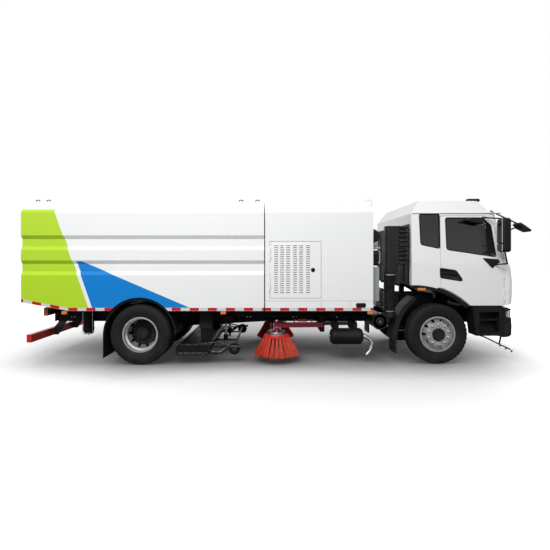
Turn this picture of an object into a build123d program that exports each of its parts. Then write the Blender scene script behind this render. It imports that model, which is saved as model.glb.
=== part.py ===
from build123d import *
import os
from collections import namedtuple
from math import asin, cos, sin, sqrt

# A two-axle street sweeper truck with a cab over its engine.
# Sizes are millimetres. While it is modelled, X runs forward from the rear axle,
# Y to the truck's left and Z up from the ground. The last step moves X to the
# middle of the overall length.

# Allowances used everywhere
overrun = 30.0
seat_gap = 0.3
pin_clearance = 0.05
panel_gap = 6.0
knuckle_clearance = 5.0

# Overall layout
wheelbase = 5000.0
rear_reach = 1960.0
front_reach = 6562.0
body_half_width = 1250.0
body_bottom = 912.0

# Tyres and disc wheels
tyre_radius = 505.0
tyre_half_width = 137.0
tread_half_width = 106.0
bead_radius = 286.0
shoulder_drop = 26.0
rim_half_width = 105.0
rim_flange = 12.0
rim_well_depth = 28.0
rim_skin = 12.0
disc_offset = 153.0
disc_thickness = 14.0
disc_inner_radius = 112.0
nut_circle_radius = 167.5
disc_flat_radius = 196.0
hand_holes = 10
hand_hole_radius = 24.0
hand_hole_circle = 224.0
hub_radius = 106.0
hub_cap_radius = 84.0
front_hub_reach = 58.0
rear_hub_reach = 150.0
drum_radius = 205.0
drum_wall = 22.0
drum_length = 150.0
spindle_radius = 42.0
front_track_half = 1018.0
rear_outer_half = 1077.0

# Front axle and steering
kingpin_y = 853.0
kingpin_radius = 22.0
axle_eye_radius = 48.0
axle_eye_height = 150.0
fork_eye_height = 46.0
fork_plate = 36.0
fork_plate_half = 58.0
fork_reach = 52.0
beam_height = 90.0
beam_width = 76.0
beam_web = 30.0
beam_flange = 22.0
beam_drop = 70.0
beam_neck = 68.0
steering_arm_length = 220.0
steering_arm_width = 44.0
steering_arm_height = 26.0
tie_rod_radius = 12.5
tie_pin_radius = 12.0
tie_eye_radius = 26.0

# Chassis frame
rail_outer_half = 425.0
rail_flange = 80.0
rail_web = 8.0
rail_bottom = 620.0
rail_top = 900.0
rail_rear = -1750.0
rail_front = 6120.0
subframe_top = 960.0
subframe_front = 3880.0
crossmember_length = 70.0
bearer_half_width = 1178.0
bearer_height = 56.0
bearer_length = 60.0
spring_half_width = 40.0
rear_spring_y = 485.0
front_spring_y = 385.0
spring_leaf = 14.0
spring_camber_radius = 3200.0
rear_spring_half = 760.0
leaf_length_shares = (1.0, 0.98, 0.8, 0.62, 0.44)
spring_hanger = 70.0
axle_tube_radius = 72.0
differential_radius = 190.0
differential_length = 300.0
pinion_radius = 95.0
pinion_length = 210.0
shaft_radius = 44.0
gearbox_rear = 3900.0
gearbox_front = 4350.0
gearbox_half_width = 220.0
gearbox_bottom = 600.0
shaft_height = 700.0
engine_front = 5240.0
engine_half_width = 320.0
engine_top = 1120.0
radiator_x = 5780.0
radiator_thickness = 90.0
radiator_half_width = 335.0
radiator_top = 980.0

# Hopper and equipment compartment share one cross-section
wall = 70.0
compartment_wall = 50.0
roof_crown = 2785.0
side_drop = 237.0
side_top = roof_crown - side_drop
roof_edge_drop = 42.0
roof_edge = roof_crown - roof_edge_drop
roof_edge_inset = 150.0
channel_depth = 42.0
channel_slope = 60.0
channel_drops = (1277.0, 862.0)
channel_height = 242.0
hopper_front = 2074.0
compartment_rear = 2092.0
compartment_front = 3885.0
rear_cut_front = -1170.0
rear_cut_top = 1055.0
skirt = 70.0
arch_radius = 628.0
arch_inner_half = 560.0
hopper_pivot_x = -1760.0
hopper_pivot_z = 985.0
hopper_pivot_y = 385.0
pivot_radius = 38.0
pivot_pin_radius = 20.0
pivot_segment = 50.0
tailgate_thickness = 56.0
tailgate_inset = 18.0
tailgate_drop = 301.0
tailgate_top = roof_crown - tailgate_drop
tailgate_half_width = 1150.0
tailgate_rise = 95.0
tailgate_rib = 14.0
hinge_radius = 15.0
hinge_pin_radius = 7.0
hinge_segment = 70.0
tailgate_hinge_y = 760.0

# Louvred side doors of the compartment
louvre_rear = 2172.0
louvre_front = 3017.0
louvre_bottom = 1126.0
louvre_drop = 721.0
louvre_top = roof_crown - louvre_drop
louvre_hinge_inset = 224.0

# Auxiliary engine behind the doors
aux_rear = 2420.0
aux_front = 3480.0
aux_half_width = 430.0
aux_drop = 1005.0
aux_top = roof_crown - aux_drop

# Tipping cylinder
cylinder_base_x = 740.0
cylinder_base_z = 700.0
cylinder_eye_x = -1060.0
cylinder_eye_z = 900.0
barrel_radius = 52.0
barrel_length = 1330.0
rod_radius = 30.0
rod_engaged = 260.0
eye_radius = 46.0
eye_half_width = 30.0
lug_plate = 24.0

# Tanks and air intake
reservoir_rear = 3205.0
reservoir_front = 3765.0
reservoir_y = 985.0
reservoir_z = 447.0
reservoir_radius = 138.0
fuel_rear = 3190.0
fuel_front = 3860.0
fuel_inner = 520.0
fuel_outer = 1120.0
fuel_bottom = 380.0
fuel_top = 840.0
strap_width = 60.0
strap_thickness = 8.0
cleaner_x = 4026.0
cleaner_z = 719.0
cleaner_radius = 136.0
cleaner_outer = 1150.0
cleaner_inner = 640.0
riser_rear = 4134.0
riser_front = 4330.0
riser_outer = 1140.0
riser_inner = 960.0
riser_bottom = 1545.0
riser_top = 2330.0
head_front = 4500.0
head_bottom = 1690.0
head_ribs = 9
head_rib_depth = 26.0
duct_radius = 84.0
duct_centre_x = 4205.0

# Mudguards
guard_radius = 590.0
guard_skin = 18.0
guard_inner = 640.0
guard_outer = body_half_width - guard_skin
flap_bottom = 125.0
flap_thickness = 14.0
front_guard_inner = 800.0
front_guard_outer = 1150.0
front_guard_back = ((4600.0, 1140.0), (4330.0, 830.0), (4228.0, 412.0))
front_guard_inside = ((4640.0, 1095.0), (4400.0, 790.0), (4316.0, 412.0))
bracket_radius = 20.0

# Rear underrun bar and lamps
underrun_rear = -1924.0
underrun_length = 80.0
underrun_bottom = 367.0
underrun_top = 501.0
underrun_half_width = 1150.0
underrun_bracket = 16.0
lamp_bar_rear = -1650.0
lamp_bar_length = 50.0
lamp_bottom = 806.0
lamp_top = 926.0
lamp_inner = 560.0
lamp_outer = 1000.0
lamp_depth = 66.0

# Cab form, one row for each level: height, half width, nose, rear wall
cab_levels = (
    (992.0, 1160.0, 6335.0, 4556.0),
    (1700.0, 1160.0, 6325.0, 4556.0),
    (2544.0, 1118.0, 6110.0, 4556.0),
    (2770.0, 1000.0, 5900.0, 4720.0),
)
# Plan of the cab's front, from the side to the middle: back from the nose, in from the side
cab_nose_depth = 240.0
cab_nose_width = 760.0
cab_plan_shares = ((1.0, 0.0), (0.717, 0.021), (0.496, 0.082), (0.383, 0.163), (0.146, 0.526), (0.0, 1.0))
cab_wall = 55.0
cab_floor = 60.0
cab_arch_x = 4604.0
cab_arch_z = 21.0
cab_arch_radius = 1305.0
sill = 45.0
trim_thickness = 40.0
trim_depth = 80.0
trim_stand = 14.0
glass_inset = 10.0
glass_thickness = 8.0
cab_pivot_x = 6230.0
cab_pivot_z = 740.0
cab_pivot_y = 385.0
cab_pivot_radius = 34.0
cab_pivot_pin = 16.0
cab_arm_half = 22.0
support_rear = 4580.0
support_length = 80.0
support_post = 60.0

# Cab door outline, side window and door window
door_rear = 5045.0
door_front = 6105.0
door_top = 2500.0
door_belt = 1723.0
door_pillar_x = 5935.0
door_pillar_z = 2390.0
door_top_front = 5800.0
door_corner = 50.0
door_hinge_heights = (1180.0, 1560.0)
door_hinge_inset = 8.0
quarter_window = ((4695.0, 2534.0), (5030.0, 2534.0), (5030.0, 1951.0), (4712.0, 2018.0))
door_window = ((5135.0, 2467.0), (5745.0, 2467.0), (5895.0, 2350.0), (5972.0, 1810.0), (5149.0, 1933.0))
window_corner = 40.0
screen_bottom = 1775.0
screen_top = 2495.0
screen_bottom_half = 1030.0
screen_top_half = 940.0
screen_corner = 90.0

# Cab front grille
grille_bottom = 1120.0
grille_top = 1560.0
grille_half_width = 760.0
grille_depth = 25.0
grille_bar = 22.0
grille_bars = 7
valance_half_width = 550.0
valance_bottom = 845.0

# Bumper, headlamps and steps
bumper_half_width = 1150.0
bumper_bottom = 456.0
bumper_top = 950.0
bumper_rear = 6090.0
bumper_wall = 60.0
bumper_centre_half = 570.0
bumper_centre_top = 725.0
headlamp_inner = 640.0
headlamp_bottom = 800.0
headlamp_top = 925.0
headlamp_depth = 75.0
step_rear_top = 5578.0
step_rear_bottom = 5645.0
step_front = 6084.0
step_bottom = 480.0
step_top = 980.0
step_inner = 860.0
step_well_depth = 190.0
step_tread = 50.0
tow_half_width = 60.0
tow_low = 520.0
tow_high = 630.0
tow_slot = 50.0
tow_pin_radius = 20.0
tow_pin_x = 6285.0
tow_front = 6330.0

# Cab inside
seat_rear = 5020.0
seat_length = 500.0
seat_half_width = 250.0
seat_y = 560.0
seat_base_top = 1620.0
seat_cushion = 130.0
seat_back_height = 700.0
seat_back_thickness = 130.0
dash_rear = 5890.0
dash_bottom = 1380.0
dash_top = 1720.0
dash_half_width = 1040.0
steering_wheel_x = 5740.0
steering_wheel_z = 1840.0
steering_wheel_radius = 225.0
steering_wheel_rim = 16.0
column_radius = 32.0

# Mirrors
mirror_rear = 5912.0
mirror_front = 6060.0
mirror_inner = 1290.0
mirror_width = 190.0
mirror_outer = mirror_inner + mirror_width
mirror_bottom = 1885.0
mirror_top = 2440.0
mirror_corner = 45.0
mirror_arm_radius = 12.0
front_mirror_rear = 6343.0
front_mirror_top = 2390.0
front_mirror_drop = 160.0
front_mirror_lip = 30.0
front_mirror_inner = 985.0
front_mirror_outer = 1180.0
front_arm_foot = (5930.0, -1030.0, 2600.0)
front_strut_foot = (6030.0, -1080.0, 2180.0)
kerb_mirror_rear = 5385.0
kerb_mirror_front = 5700.0
kerb_mirror_drop = 120.0
kerb_mirror_lip = 40.0
kerb_mirror_rise = 150.0

# Side brushes
brush_x = 2287.0
brush_y = 845.0
brush_radius = 400.0
brush_bottom = 60.0
bristle_top_radius = 222.0
bristle_top = 432.0
tuft_count = 28
brush_plate_radius = 172.0
brush_plate_top = 512.0
motor_radius = 46.0
motor_top = 690.0
arm_pivot_x = 3090.0
arm_pivot_y = 800.0
arm_half_width = 38.0
arm_bottom = 575.0
arm_top = 655.0
arm_pivot_radius = 44.0
arm_pin_radius = 20.0
arm_bracket_bottom = 500.0
arm_bracket_top = 772.0

# Suction nozzle, its casters and ducts
nozzle_rear = 580.0
nozzle_front = 1150.0
nozzle_half_width = 1130.0
nozzle_bottom = 145.0
nozzle_top = 316.0
nozzle_corner = 60.0
nozzle_wall = 20.0
nozzle_rib_width = 16.0
nozzle_rib_height = 26.0
caster_x = 1567.0
caster_y = 1040.0
caster_radius = 97.0
caster_half_width = 28.0
duct_x = 1045.0
duct_y = 715.0
spigot_half_length = 90.0
spigot_half_width = 120.0
spigot_wall = 8.0
spigot_top = 740.0
duct_gap = 10.0
duct_bottom = 560.0
guide_x = 1350.0
guide_radius = 26.0
guide_bottom = 190.0
sleeve_wall = 16.0
sleeve_height = 110.0


def block(x0, x1, y0, y1, z0, z1):
    size = Box(x1 - x0, y1 - y0, z1 - z0, align=(Align.MIN, Align.MIN, Align.MIN))
    return Pos(x0, y0, z0) * size


def outline(points, radius=None):
    if radius:
        return Face(Wire(FilletPolyline(*points, radius=radius, close=True)))
    return Face(Wire.make_polygon(points, close=True))


def side_plate(points, y0, y1, radius=None):
    """A plate whose outline is drawn in side view, between two widths."""
    plane = Plane(origin=(0, y0, 0), x_dir=(1, 0, 0), z_dir=(0, -1, 0))
    return extrude(plane * outline(points, radius), amount=y1 - y0, dir=(0, 1, 0))


def front_plate(points, x0, x1, radius=None):
    """A plate whose outline is drawn in front view, between two lengths."""
    plane = Plane(origin=(x0, 0, 0), x_dir=(0, 1, 0), z_dir=(1, 0, 0))
    return extrude(plane * outline(points, radius), amount=x1 - x0, dir=(1, 0, 0))


def rod(start, end, radius):
    way = Vector(*end) - Vector(*start)
    solid = Cylinder(radius, way.length, align=(Align.CENTER, Align.CENTER, Align.MIN))
    return Plane(origin=start, z_dir=way) * solid


def mirrored(shape):
    return mirror(shape, about=Plane.XZ)


def both(shape):
    return shape + mirrored(shape)


def turned(profile, x, z):
    """Revolves a profile of radius and width about a wheel's own axis."""
    face = Plane(origin=(x, 0, z), x_dir=(1, 0, 0), z_dir=(0, 0, 1)) * outline(profile)
    return revolve(face, axis=Axis((x, 0, z), (0, 1, 0)))


def ring(x, z, y0, y1, outer, inner):
    solid = rod((x, y0, z), (x, y1, z), outer)
    return solid - rod((x, y0 - overrun, z), (x, y1 + overrun, z), inner)


def welded(pieces):
    """Keeps welded pieces as solids that meet face to face: each gives way to those before it."""
    kept = []
    for piece in pieces:
        for other in kept:
            piece = piece - other
        kept += piece.solids()
    return Compound(kept)


Hinge = namedtuple("Hinge", "fixed moving fixed_room moving_room bore")


def knuckles(centre, way, radius, pin, segment):
    """A hinge of three knuckles: the outer two with their pin, the middle one, the
    spaces that each needs in what lies opposite, and the bore for the pin."""
    centre = Vector(*centre)
    way = Vector(*way)
    half = segment / 2
    low = centre - way * (half + seat_gap)
    high = centre + way * (half + seat_gap)
    far_low = low - way * segment
    far_high = high + way * segment
    fixed = rod(far_low, low, radius) + rod(high, far_high, radius) + rod(far_low, far_high, pin)
    middle = rod(centre - way * half, centre + way * half, radius)
    bore = rod(low, high, pin + pin_clearance)
    room = radius + knuckle_clearance
    fixed_room = rod(far_low - way * seat_gap, low, room) + rod(high, far_high + way * seat_gap, room)
    moving_room = rod(low, high, room)
    return Hinge(fixed, middle - bore, fixed_room, moving_room, bore)


def leaf_hinge(centre, way, lead):
    """A panel's hinge: the recess cut in both sides, the fixed knuckles with their leaves,
    which point along lead, and the moving knuckle with its leaf."""
    hinge = knuckles(centre, way, hinge_radius, hinge_pin_radius, hinge_segment)
    plane = Plane(origin=centre, x_dir=lead, z_dir=way)
    room = hinge_radius + knuckle_clearance
    length = hinge_segment * 3 + seat_gap * 4
    recess = plane * Box(room * 2, room * 2, length)
    leaf = Box(room + seat_gap, hinge_radius * 2, hinge_segment, align=(Align.MIN, Align.CENTER, Align.CENTER))
    step = hinge_segment + seat_gap
    outer = plane * (Pos(0, 0, step) * leaf + Pos(0, 0, -step) * leaf)
    inner = plane * (Rot(0, 0, 180) * leaf)
    return recess, hinge.fixed + outer, hinge.moving + (inner - hinge.bore)


# Wheels
hub_height = tyre_radius


def tyre(x, y):
    face_arc = [
        (bead_radius, rim_half_width),
        (bead_radius + rim_flange, rim_half_width),
        (tyre_radius - shoulder_drop * 4, tyre_half_width),
        (tyre_radius - shoulder_drop, tread_half_width + shoulder_drop / 2),
        (tyre_radius, tread_half_width),
    ]
    profile = face_arc + [(r, -v) for r, v in reversed(face_arc)]
    return Pos(0, y, 0) * turned(profile, x, hub_height)


def rim_barrel(x, y):
    flange = bead_radius + rim_flange
    well = bead_radius - rim_well_depth
    edge = rim_half_width + rim_flange
    slope = rim_well_depth
    outer = [(flange, edge), (flange, rim_half_width), (bead_radius, rim_half_width)]
    outer += [(bead_radius, rim_half_width / 2), (well, rim_half_width / 2 - slope)]
    outer += [(well, -rim_half_width / 2 + slope), (bead_radius, -rim_half_width / 2)]
    outer += [(bead_radius, -rim_half_width), (flange, -rim_half_width), (flange, -edge)]
    inner = [(bead_radius - rim_skin, -edge), (bead_radius - rim_skin, -rim_half_width / 2)]
    inner += [(well - rim_skin, -rim_half_width / 2 + slope), (well - rim_skin, rim_half_width / 2 - slope)]
    inner += [(bead_radius - rim_skin, rim_half_width / 2), (bead_radius - rim_skin, edge)]
    return Pos(0, y, 0) * turned(outer + inner, x, hub_height)


def rim_disc(x, y, side):
    """The dished disc: it leaves the well and ends in a flat ring at the mounting face."""
    well = bead_radius - rim_well_depth - rim_skin / 2
    face = disc_offset
    root = rim_half_width / 2 - rim_well_depth
    profile = [(disc_inner_radius, face), (disc_flat_radius, face), (well, root + disc_thickness)]
    profile += [(well, root - disc_thickness), (disc_flat_radius, face - disc_thickness)]
    profile += [(disc_inner_radius, face - disc_thickness)]
    disc = turned([(r, v * side) for r, v in profile], x, hub_height)
    for n in range(hand_holes):
        turn = 360 * n / hand_holes
        hole = rod((x + hand_hole_circle, 0, hub_height), (x + hand_hole_circle, side * disc_offset * 2, hub_height), hand_hole_radius)
        disc = disc - hole.rotate(Axis((x, 0, hub_height), (0, 1, 0)), turn)
    return Pos(0, y, 0) * disc


def hub(x, drum_y, drum_end, hub_y, hub_end, bore):
    """Brake drum and hub about one spindle, on the truck's left."""
    drum = ring(x, hub_height, drum_y, drum_end, drum_radius, drum_radius - drum_wall)
    web = rod((x, drum_end - drum_wall, hub_height), (x, drum_end, hub_height), drum_radius)
    boss = rod((x, hub_y, hub_height), (x, hub_end - hub_cap_radius / 2, hub_height), hub_radius)
    cap = rod((x, hub_y, hub_height), (x, hub_end, hub_height), hub_cap_radius)
    solid = drum + web + boss + cap
    return solid - rod((x, drum_y - overrun, hub_height), (x, hub_end - hub_cap_radius, hub_height), bore)


front_face = front_track_half + disc_offset
front_disc_back = front_face - disc_thickness
front_wheel_end = front_face + front_hub_reach
front_drum_start = kingpin_y + fork_reach + fork_plate + seat_gap * 20


def front_rim():
    shell = rim_barrel(wheelbase, front_track_half) + rim_disc(wheelbase, front_track_half, 1)
    bore = spindle_radius + pin_clearance
    return shell + hub(wheelbase, front_drum_start, front_disc_back, front_disc_back - drum_wall, front_wheel_end, bore)


rear_inner_half = rear_outer_half - disc_offset * 2
rear_mate = rear_outer_half - disc_offset
rear_drum_start = rear_mate - disc_thickness * 2 - drum_length * 2
rear_wheel_end = rear_mate + rear_hub_reach


def rear_rims():
    outer = rim_barrel(0, rear_outer_half) + rim_disc(0, rear_outer_half, -1)
    inner = rim_barrel(0, rear_inner_half) + rim_disc(0, rear_inner_half, 1)
    bore = spindle_radius + pin_clearance
    middle = hub(0, rear_drum_start, rear_mate, rear_mate - drum_wall, rear_wheel_end, bore)
    return outer + inner + middle


# Front axle, knuckles and tie rod
eye_low = hub_height - axle_eye_height / 2
eye_high = hub_height + axle_eye_height / 2
beam_mid = hub_height - beam_drop


def front_axle_beam():
    half = kingpin_y - beam_neck
    upright = beam_web / 2
    top = beam_mid + beam_height / 2
    low = beam_mid - beam_height / 2
    x = wheelbase
    beam = block(x - upright, x + upright, -half, half, low, top)
    for z in (low, top - beam_flange):
        beam += block(x - beam_width / 2, x + beam_width / 2, -half, half, z, z + beam_flange)
    eye = rod((x, kingpin_y, eye_low), (x, kingpin_y, eye_high), axle_eye_radius)
    neck = block(x - beam_width / 2, x + beam_width / 2, half - beam_neck, kingpin_y, eye_low, top + beam_flange)
    beam += both(eye + neck)
    bore = rod((x, kingpin_y, eye_low - overrun), (x, kingpin_y, eye_high + overrun), kingpin_radius + pin_clearance)
    return beam - both(bore)


tie_rod_z = eye_low - seat_gap - fork_eye_height / 2


def steering_knuckle():
    x = wheelbase
    y = kingpin_y
    low = eye_low - seat_gap
    high = eye_high + seat_gap
    knuckle = rod((x, y, low - fork_eye_height), (x, y, low), axle_eye_radius)
    knuckle += rod((x, y, high), (x, y, high + fork_eye_height), axle_eye_radius)
    knuckle += rod((x, y, low - fork_eye_height), (x, y, high + fork_eye_height), kingpin_radius)
    plate_y = y + fork_reach
    half = fork_plate_half
    for z in (low - fork_eye_height, high):
        knuckle += block(x - axle_eye_radius, x + axle_eye_radius, y, plate_y, z, z + fork_eye_height)
    knuckle += block(x - half, x + half, plate_y, plate_y + fork_plate, low - fork_eye_height, high + fork_eye_height)
    knuckle += rod((x, plate_y, hub_height), (x, front_wheel_end - hub_cap_radius - seat_gap, hub_height), spindle_radius)
    arm_low = low - fork_eye_height / 2 - steering_arm_height / 2
    arm_half = steering_arm_width / 2
    arm = block(x - steering_arm_length, x, y - arm_half, y + arm_half, arm_low, arm_low + steering_arm_height)
    end = (x - steering_arm_length, y)
    arm += rod((*end, arm_low), (*end, arm_low + steering_arm_height), arm_half)
    pin_top = arm_low + steering_arm_height + tie_eye_radius + seat_gap
    return knuckle + arm + rod((*end, arm_low), (*end, pin_top), tie_pin_radius)


def tie_rod():
    x = wheelbase - steering_arm_length
    low = tie_rod_z + steering_arm_height / 2 + seat_gap
    high = low + tie_eye_radius
    middle = (low + high) / 2
    tube = rod((x, -kingpin_y, middle), (x, kingpin_y, middle), tie_rod_radius)
    eye = rod((x, kingpin_y, low), (x, kingpin_y, high), tie_eye_radius)
    bore = rod((x, kingpin_y, low - overrun), (x, kingpin_y, high + overrun), tie_pin_radius + pin_clearance)
    return tube + both(eye) - both(bore)


# Springs and rear axle
def leaf_pack(x, y, half, seat_z):
    """Leaves lie on each other as arcs about one centre high above the axle."""
    faces = None
    for n, share in enumerate(leaf_length_shares):
        inner = spring_camber_radius + n * spring_leaf
        outer = inner + spring_leaf
        reach = asin(half * share / spring_camber_radius)
        top = seat_z + len(leaf_length_shares) * spring_leaf
        centre = top + spring_camber_radius
        points = []
        for radius, way in ((inner, 1), (outer, -1)):
            points.append([(x + radius * sin(a * reach), centre - radius * cos(a * reach)) for a in (-way, 0, way)])
        upper = ThreePointArc(*points[0])
        lower = ThreePointArc(*points[1])
        sides = [Line(upper @ 1, lower @ 0), Line(lower @ 1, upper @ 0)]
        face = Face(Wire([upper, sides[0], lower, sides[1]]))
        faces = face if faces is None else faces + face
    plane = Plane(origin=(0, y - spring_half_width, 0), x_dir=(1, 0, 0), z_dir=(0, -1, 0))
    return extrude(plane * faces, amount=spring_half_width * 2, dir=(0, 1, 0))


front_spring_seat = beam_mid + beam_height / 2
rear_spring_seat = hub_height + axle_tube_radius
spring_thickness = spring_leaf * len(leaf_length_shares)
front_spring_rise = rail_bottom - seat_gap - front_spring_seat - spring_thickness
front_spring_half = sqrt(spring_camber_radius**2 - (spring_camber_radius - front_spring_rise) ** 2)
rear_spring_rise = spring_camber_radius - sqrt(spring_camber_radius**2 - rear_spring_half**2)


def leaf_springs():
    front = leaf_pack(wheelbase, front_spring_y, front_spring_half, front_spring_seat)
    rear = leaf_pack(0, rear_spring_y, rear_spring_half, rear_spring_seat)
    return both(front) + both(rear)


def rear_axle_housing():
    end = rear_drum_start - seat_gap * 20
    tube = rod((0, -end, hub_height), (0, end, hub_height), axle_tube_radius)
    spindle = rear_wheel_end - hub_cap_radius - seat_gap
    tube += rod((0, -spindle, hub_height), (0, spindle, hub_height), spindle_radius)
    half = differential_length / 2
    casing = rod((-half, 0, hub_height), (half, 0, hub_height), differential_radius)
    nose = half + pinion_length
    cone = Plane(origin=(half, 0, hub_height), z_dir=(1, 0, 0)) * Cone(
        differential_radius, pinion_radius, pinion_length, align=(Align.CENTER, Align.CENTER, Align.MIN)
    )
    seats = both(block(-spring_half_width * 2, spring_half_width * 2, rear_spring_y - spring_half_width,
                       rear_spring_y + spring_half_width, hub_height, rear_spring_seat))
    solid = tube + casing + cone + seats
    return solid, nose


def propeller_shaft(nose):
    rear = Plane(origin=(nose, 0, hub_height), z_dir=(1, 0, 0)) * Circle(shaft_radius)
    front = Plane(origin=(gearbox_rear, 0, shaft_height), z_dir=(1, 0, 0)) * Circle(shaft_radius)
    return loft([rear, front], ruled=True)


# Chassis frame: channel rails, crossmembers, subframe, bearers, hangers and brackets
crossmembers = (
    (-1735.0, 720.0, 860.0),
    (-1330.0, 760.0, 880.0),
    (790.0, 760.0, 880.0),
    (1560.0, 790.0, 890.0),
    (2900.0, 790.0, 890.0),
    (3700.0, 810.0, 890.0),
    (5400.0, 625.0, 700.0),
    (5790.0, 625.0, 640.0),
    (6045.0, 625.0, 760.0),
)
bearer_rows = (-1290.0, 800.0, 1640.0, 2300.0, 3050.0, 3780.0)


def chassis_rail():
    inner = rail_outer_half - rail_flange
    points = [(rail_outer_half, rail_bottom), (rail_outer_half, rail_top), (inner, rail_top)]
    points += [(inner, rail_top - rail_web), (rail_outer_half - rail_web, rail_top - rail_web)]
    points += [(rail_outer_half - rail_web, rail_bottom + rail_web), (inner, rail_bottom + rail_web)]
    points += [(inner, rail_bottom)]
    return front_plate(points, rail_rear, rail_front)


def chassis_frame():
    """Rails with the subframe on them, then what is welded between and across them."""
    inner = rail_outer_half - rail_flange
    top = subframe_top - seat_gap
    pieces = [both(chassis_rail()), both(block(rail_rear, subframe_front, inner, rail_outer_half, rail_top, top))]
    web = rail_outer_half - rail_web
    for x, low, high in crossmembers:
        pieces.append(block(x, x + crossmember_length, -web, web, low, high))
    for x in bearer_rows:
        pieces.append(block(x, x + bearer_length, -bearer_half_width, bearer_half_width, top - bearer_height, top))
    return pieces


def spring_hangers():
    """Blocks on the rail webs that the rear springs' ends bear against."""
    low = rear_spring_seat + spring_thickness + rear_spring_rise
    half = spring_hanger / 2
    outer = rear_spring_y + spring_half_width
    shapes = None
    for end in (-rear_spring_half, rear_spring_half):
        shape = block(end - half, end + half, rail_outer_half, outer, low, low + spring_hanger)
        shapes = shape if shapes is None else shapes + shape
    return both(shapes)


def hopper_brackets():
    """Fixed halves of the hopper hinge, with webs down to the rails."""
    centre = (hopper_pivot_x, hopper_pivot_y, hopper_pivot_z)
    hinge = knuckles(centre, (0, 1, 0), pivot_radius, pivot_pin_radius, pivot_segment)
    reach = pivot_segment * 1.5 + seat_gap
    web = side_plate(
        [(hopper_pivot_x - pivot_radius, hopper_pivot_z), (hopper_pivot_x + pivot_radius, hopper_pivot_z),
         (hopper_pivot_x + pivot_radius * 3, rail_top), (hopper_pivot_x - pivot_radius, rail_bottom)],
        hopper_pivot_y - reach, hopper_pivot_y + reach)
    return both(hinge.fixed + (web - hinge.moving_room - hinge.fixed))


def cab_brackets():
    centre = (cab_pivot_x, cab_pivot_y, cab_pivot_z)
    hinge = knuckles(centre, (0, 1, 0), cab_pivot_radius, cab_pivot_pin, cab_arm_half * 2)
    reach = cab_arm_half * 3 + seat_gap
    web = side_plate(
        [(rail_front - overrun, rail_bottom), (cab_pivot_x, cab_pivot_z - cab_pivot_radius), (cab_pivot_x, cab_pivot_z),
         (cab_pivot_x, cab_pivot_z + cab_pivot_radius), (rail_front - overrun, cab_pivot_z + cab_pivot_radius * 2)],
        cab_pivot_y - reach, cab_pivot_y + reach)
    arm_room = block(cab_pivot_x - cab_pivot_radius - knuckle_clearance, cab_pivot_x + cab_pivot_radius,
                     cab_pivot_y - cab_arm_half - seat_gap, cab_pivot_y + cab_arm_half + seat_gap, cab_pivot_z, cab_top)
    return both(hinge.fixed + (web - hinge.moving_room - arm_room))


def cab_support():
    """Portal behind the engine on which the cab's rear edge rests."""
    far = support_rear + support_length
    top = cab_arch_z + sqrt(cab_arch_radius**2 - (far - cab_arch_x) ** 2) - seat_gap
    inner = rail_outer_half - rail_flange
    beam = block(support_rear, far, -rail_outer_half, rail_outer_half, top - support_post, top)
    return [beam, both(block(support_rear, far, inner, rail_outer_half, rail_top, top))]


def cylinder_bracket():
    """Two ears below a crossmember for the tipping cylinder's base eye."""
    x, low, high = crossmembers[2]
    half = eye_half_width + seat_gap
    points = [(x, low + bearer_height), (x, low), (cylinder_base_x - eye_radius, cylinder_base_z - eye_radius / 2),
              (cylinder_base_x, cylinder_base_z - eye_radius), (x + crossmember_length, low), (x + crossmember_length, low + bearer_height)]
    ears = both(side_plate(points, half, half + lug_plate))
    pin = rod((cylinder_base_x, -half - lug_plate, cylinder_base_z), (cylinder_base_x, half + lug_plate, cylinder_base_z), eye_radius / 2)
    return ears + pin


def tow_jaw():
    front = tow_front
    x = crossmembers[-1][0]
    jaw = block(x, front, -tow_half_width, tow_half_width, tow_low, tow_high)
    jaw += block(x, x + crossmember_length, -tow_half_width, tow_half_width, tow_low, crossmembers[-1][2])
    middle = (tow_low + tow_high) / 2
    slot = block(tow_pin_x - tow_half_width, front + overrun, -tow_half_width - overrun, tow_half_width + overrun,
                 middle - tow_slot / 2, middle + tow_slot / 2)
    bore = rod((tow_pin_x, 0, tow_low - overrun), (tow_pin_x, 0, tow_high + overrun), tow_pin_radius)
    return jaw - slot - bore


def lamp_bar():
    z = (lamp_bottom + lamp_top) / 2
    half = lamp_bar_length / 2
    return block(lamp_bar_rear, lamp_bar_rear + lamp_bar_length, -lamp_outer, lamp_outer, z - half, z + half)


def chassis_frame_node():
    centre = (hopper_pivot_x, hopper_pivot_y, hopper_pivot_z)
    hinge = knuckles(centre, (0, 1, 0), pivot_radius, pivot_pin_radius, pivot_segment)
    rails, subframe, *members = [piece - both(hinge.moving_room) for piece in chassis_frame()]
    pieces = [rails, subframe, hopper_brackets(), cab_brackets(), *members, *cab_support()]
    return welded(pieces + [spring_hangers(), cylinder_bracket(), tow_jaw(), lamp_bar()])


def engine_and_gearbox():
    gearbox = block(gearbox_rear, gearbox_front, -gearbox_half_width, gearbox_half_width, gearbox_bottom, rail_top)
    engine = block(gearbox_front, engine_front, -engine_half_width, engine_half_width, gearbox_bottom, engine_top)
    web = rail_outer_half - rail_web
    mount = block(gearbox_front + crossmember_length, gearbox_front + crossmember_length * 2, -web, web,
                  shaft_height, shaft_height + crossmember_length)
    return gearbox + engine + mount


def radiator():
    low = crossmembers[-2][2]
    core = block(radiator_x, radiator_x + radiator_thickness, -radiator_half_width, radiator_half_width, low, radiator_top)
    return core


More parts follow.
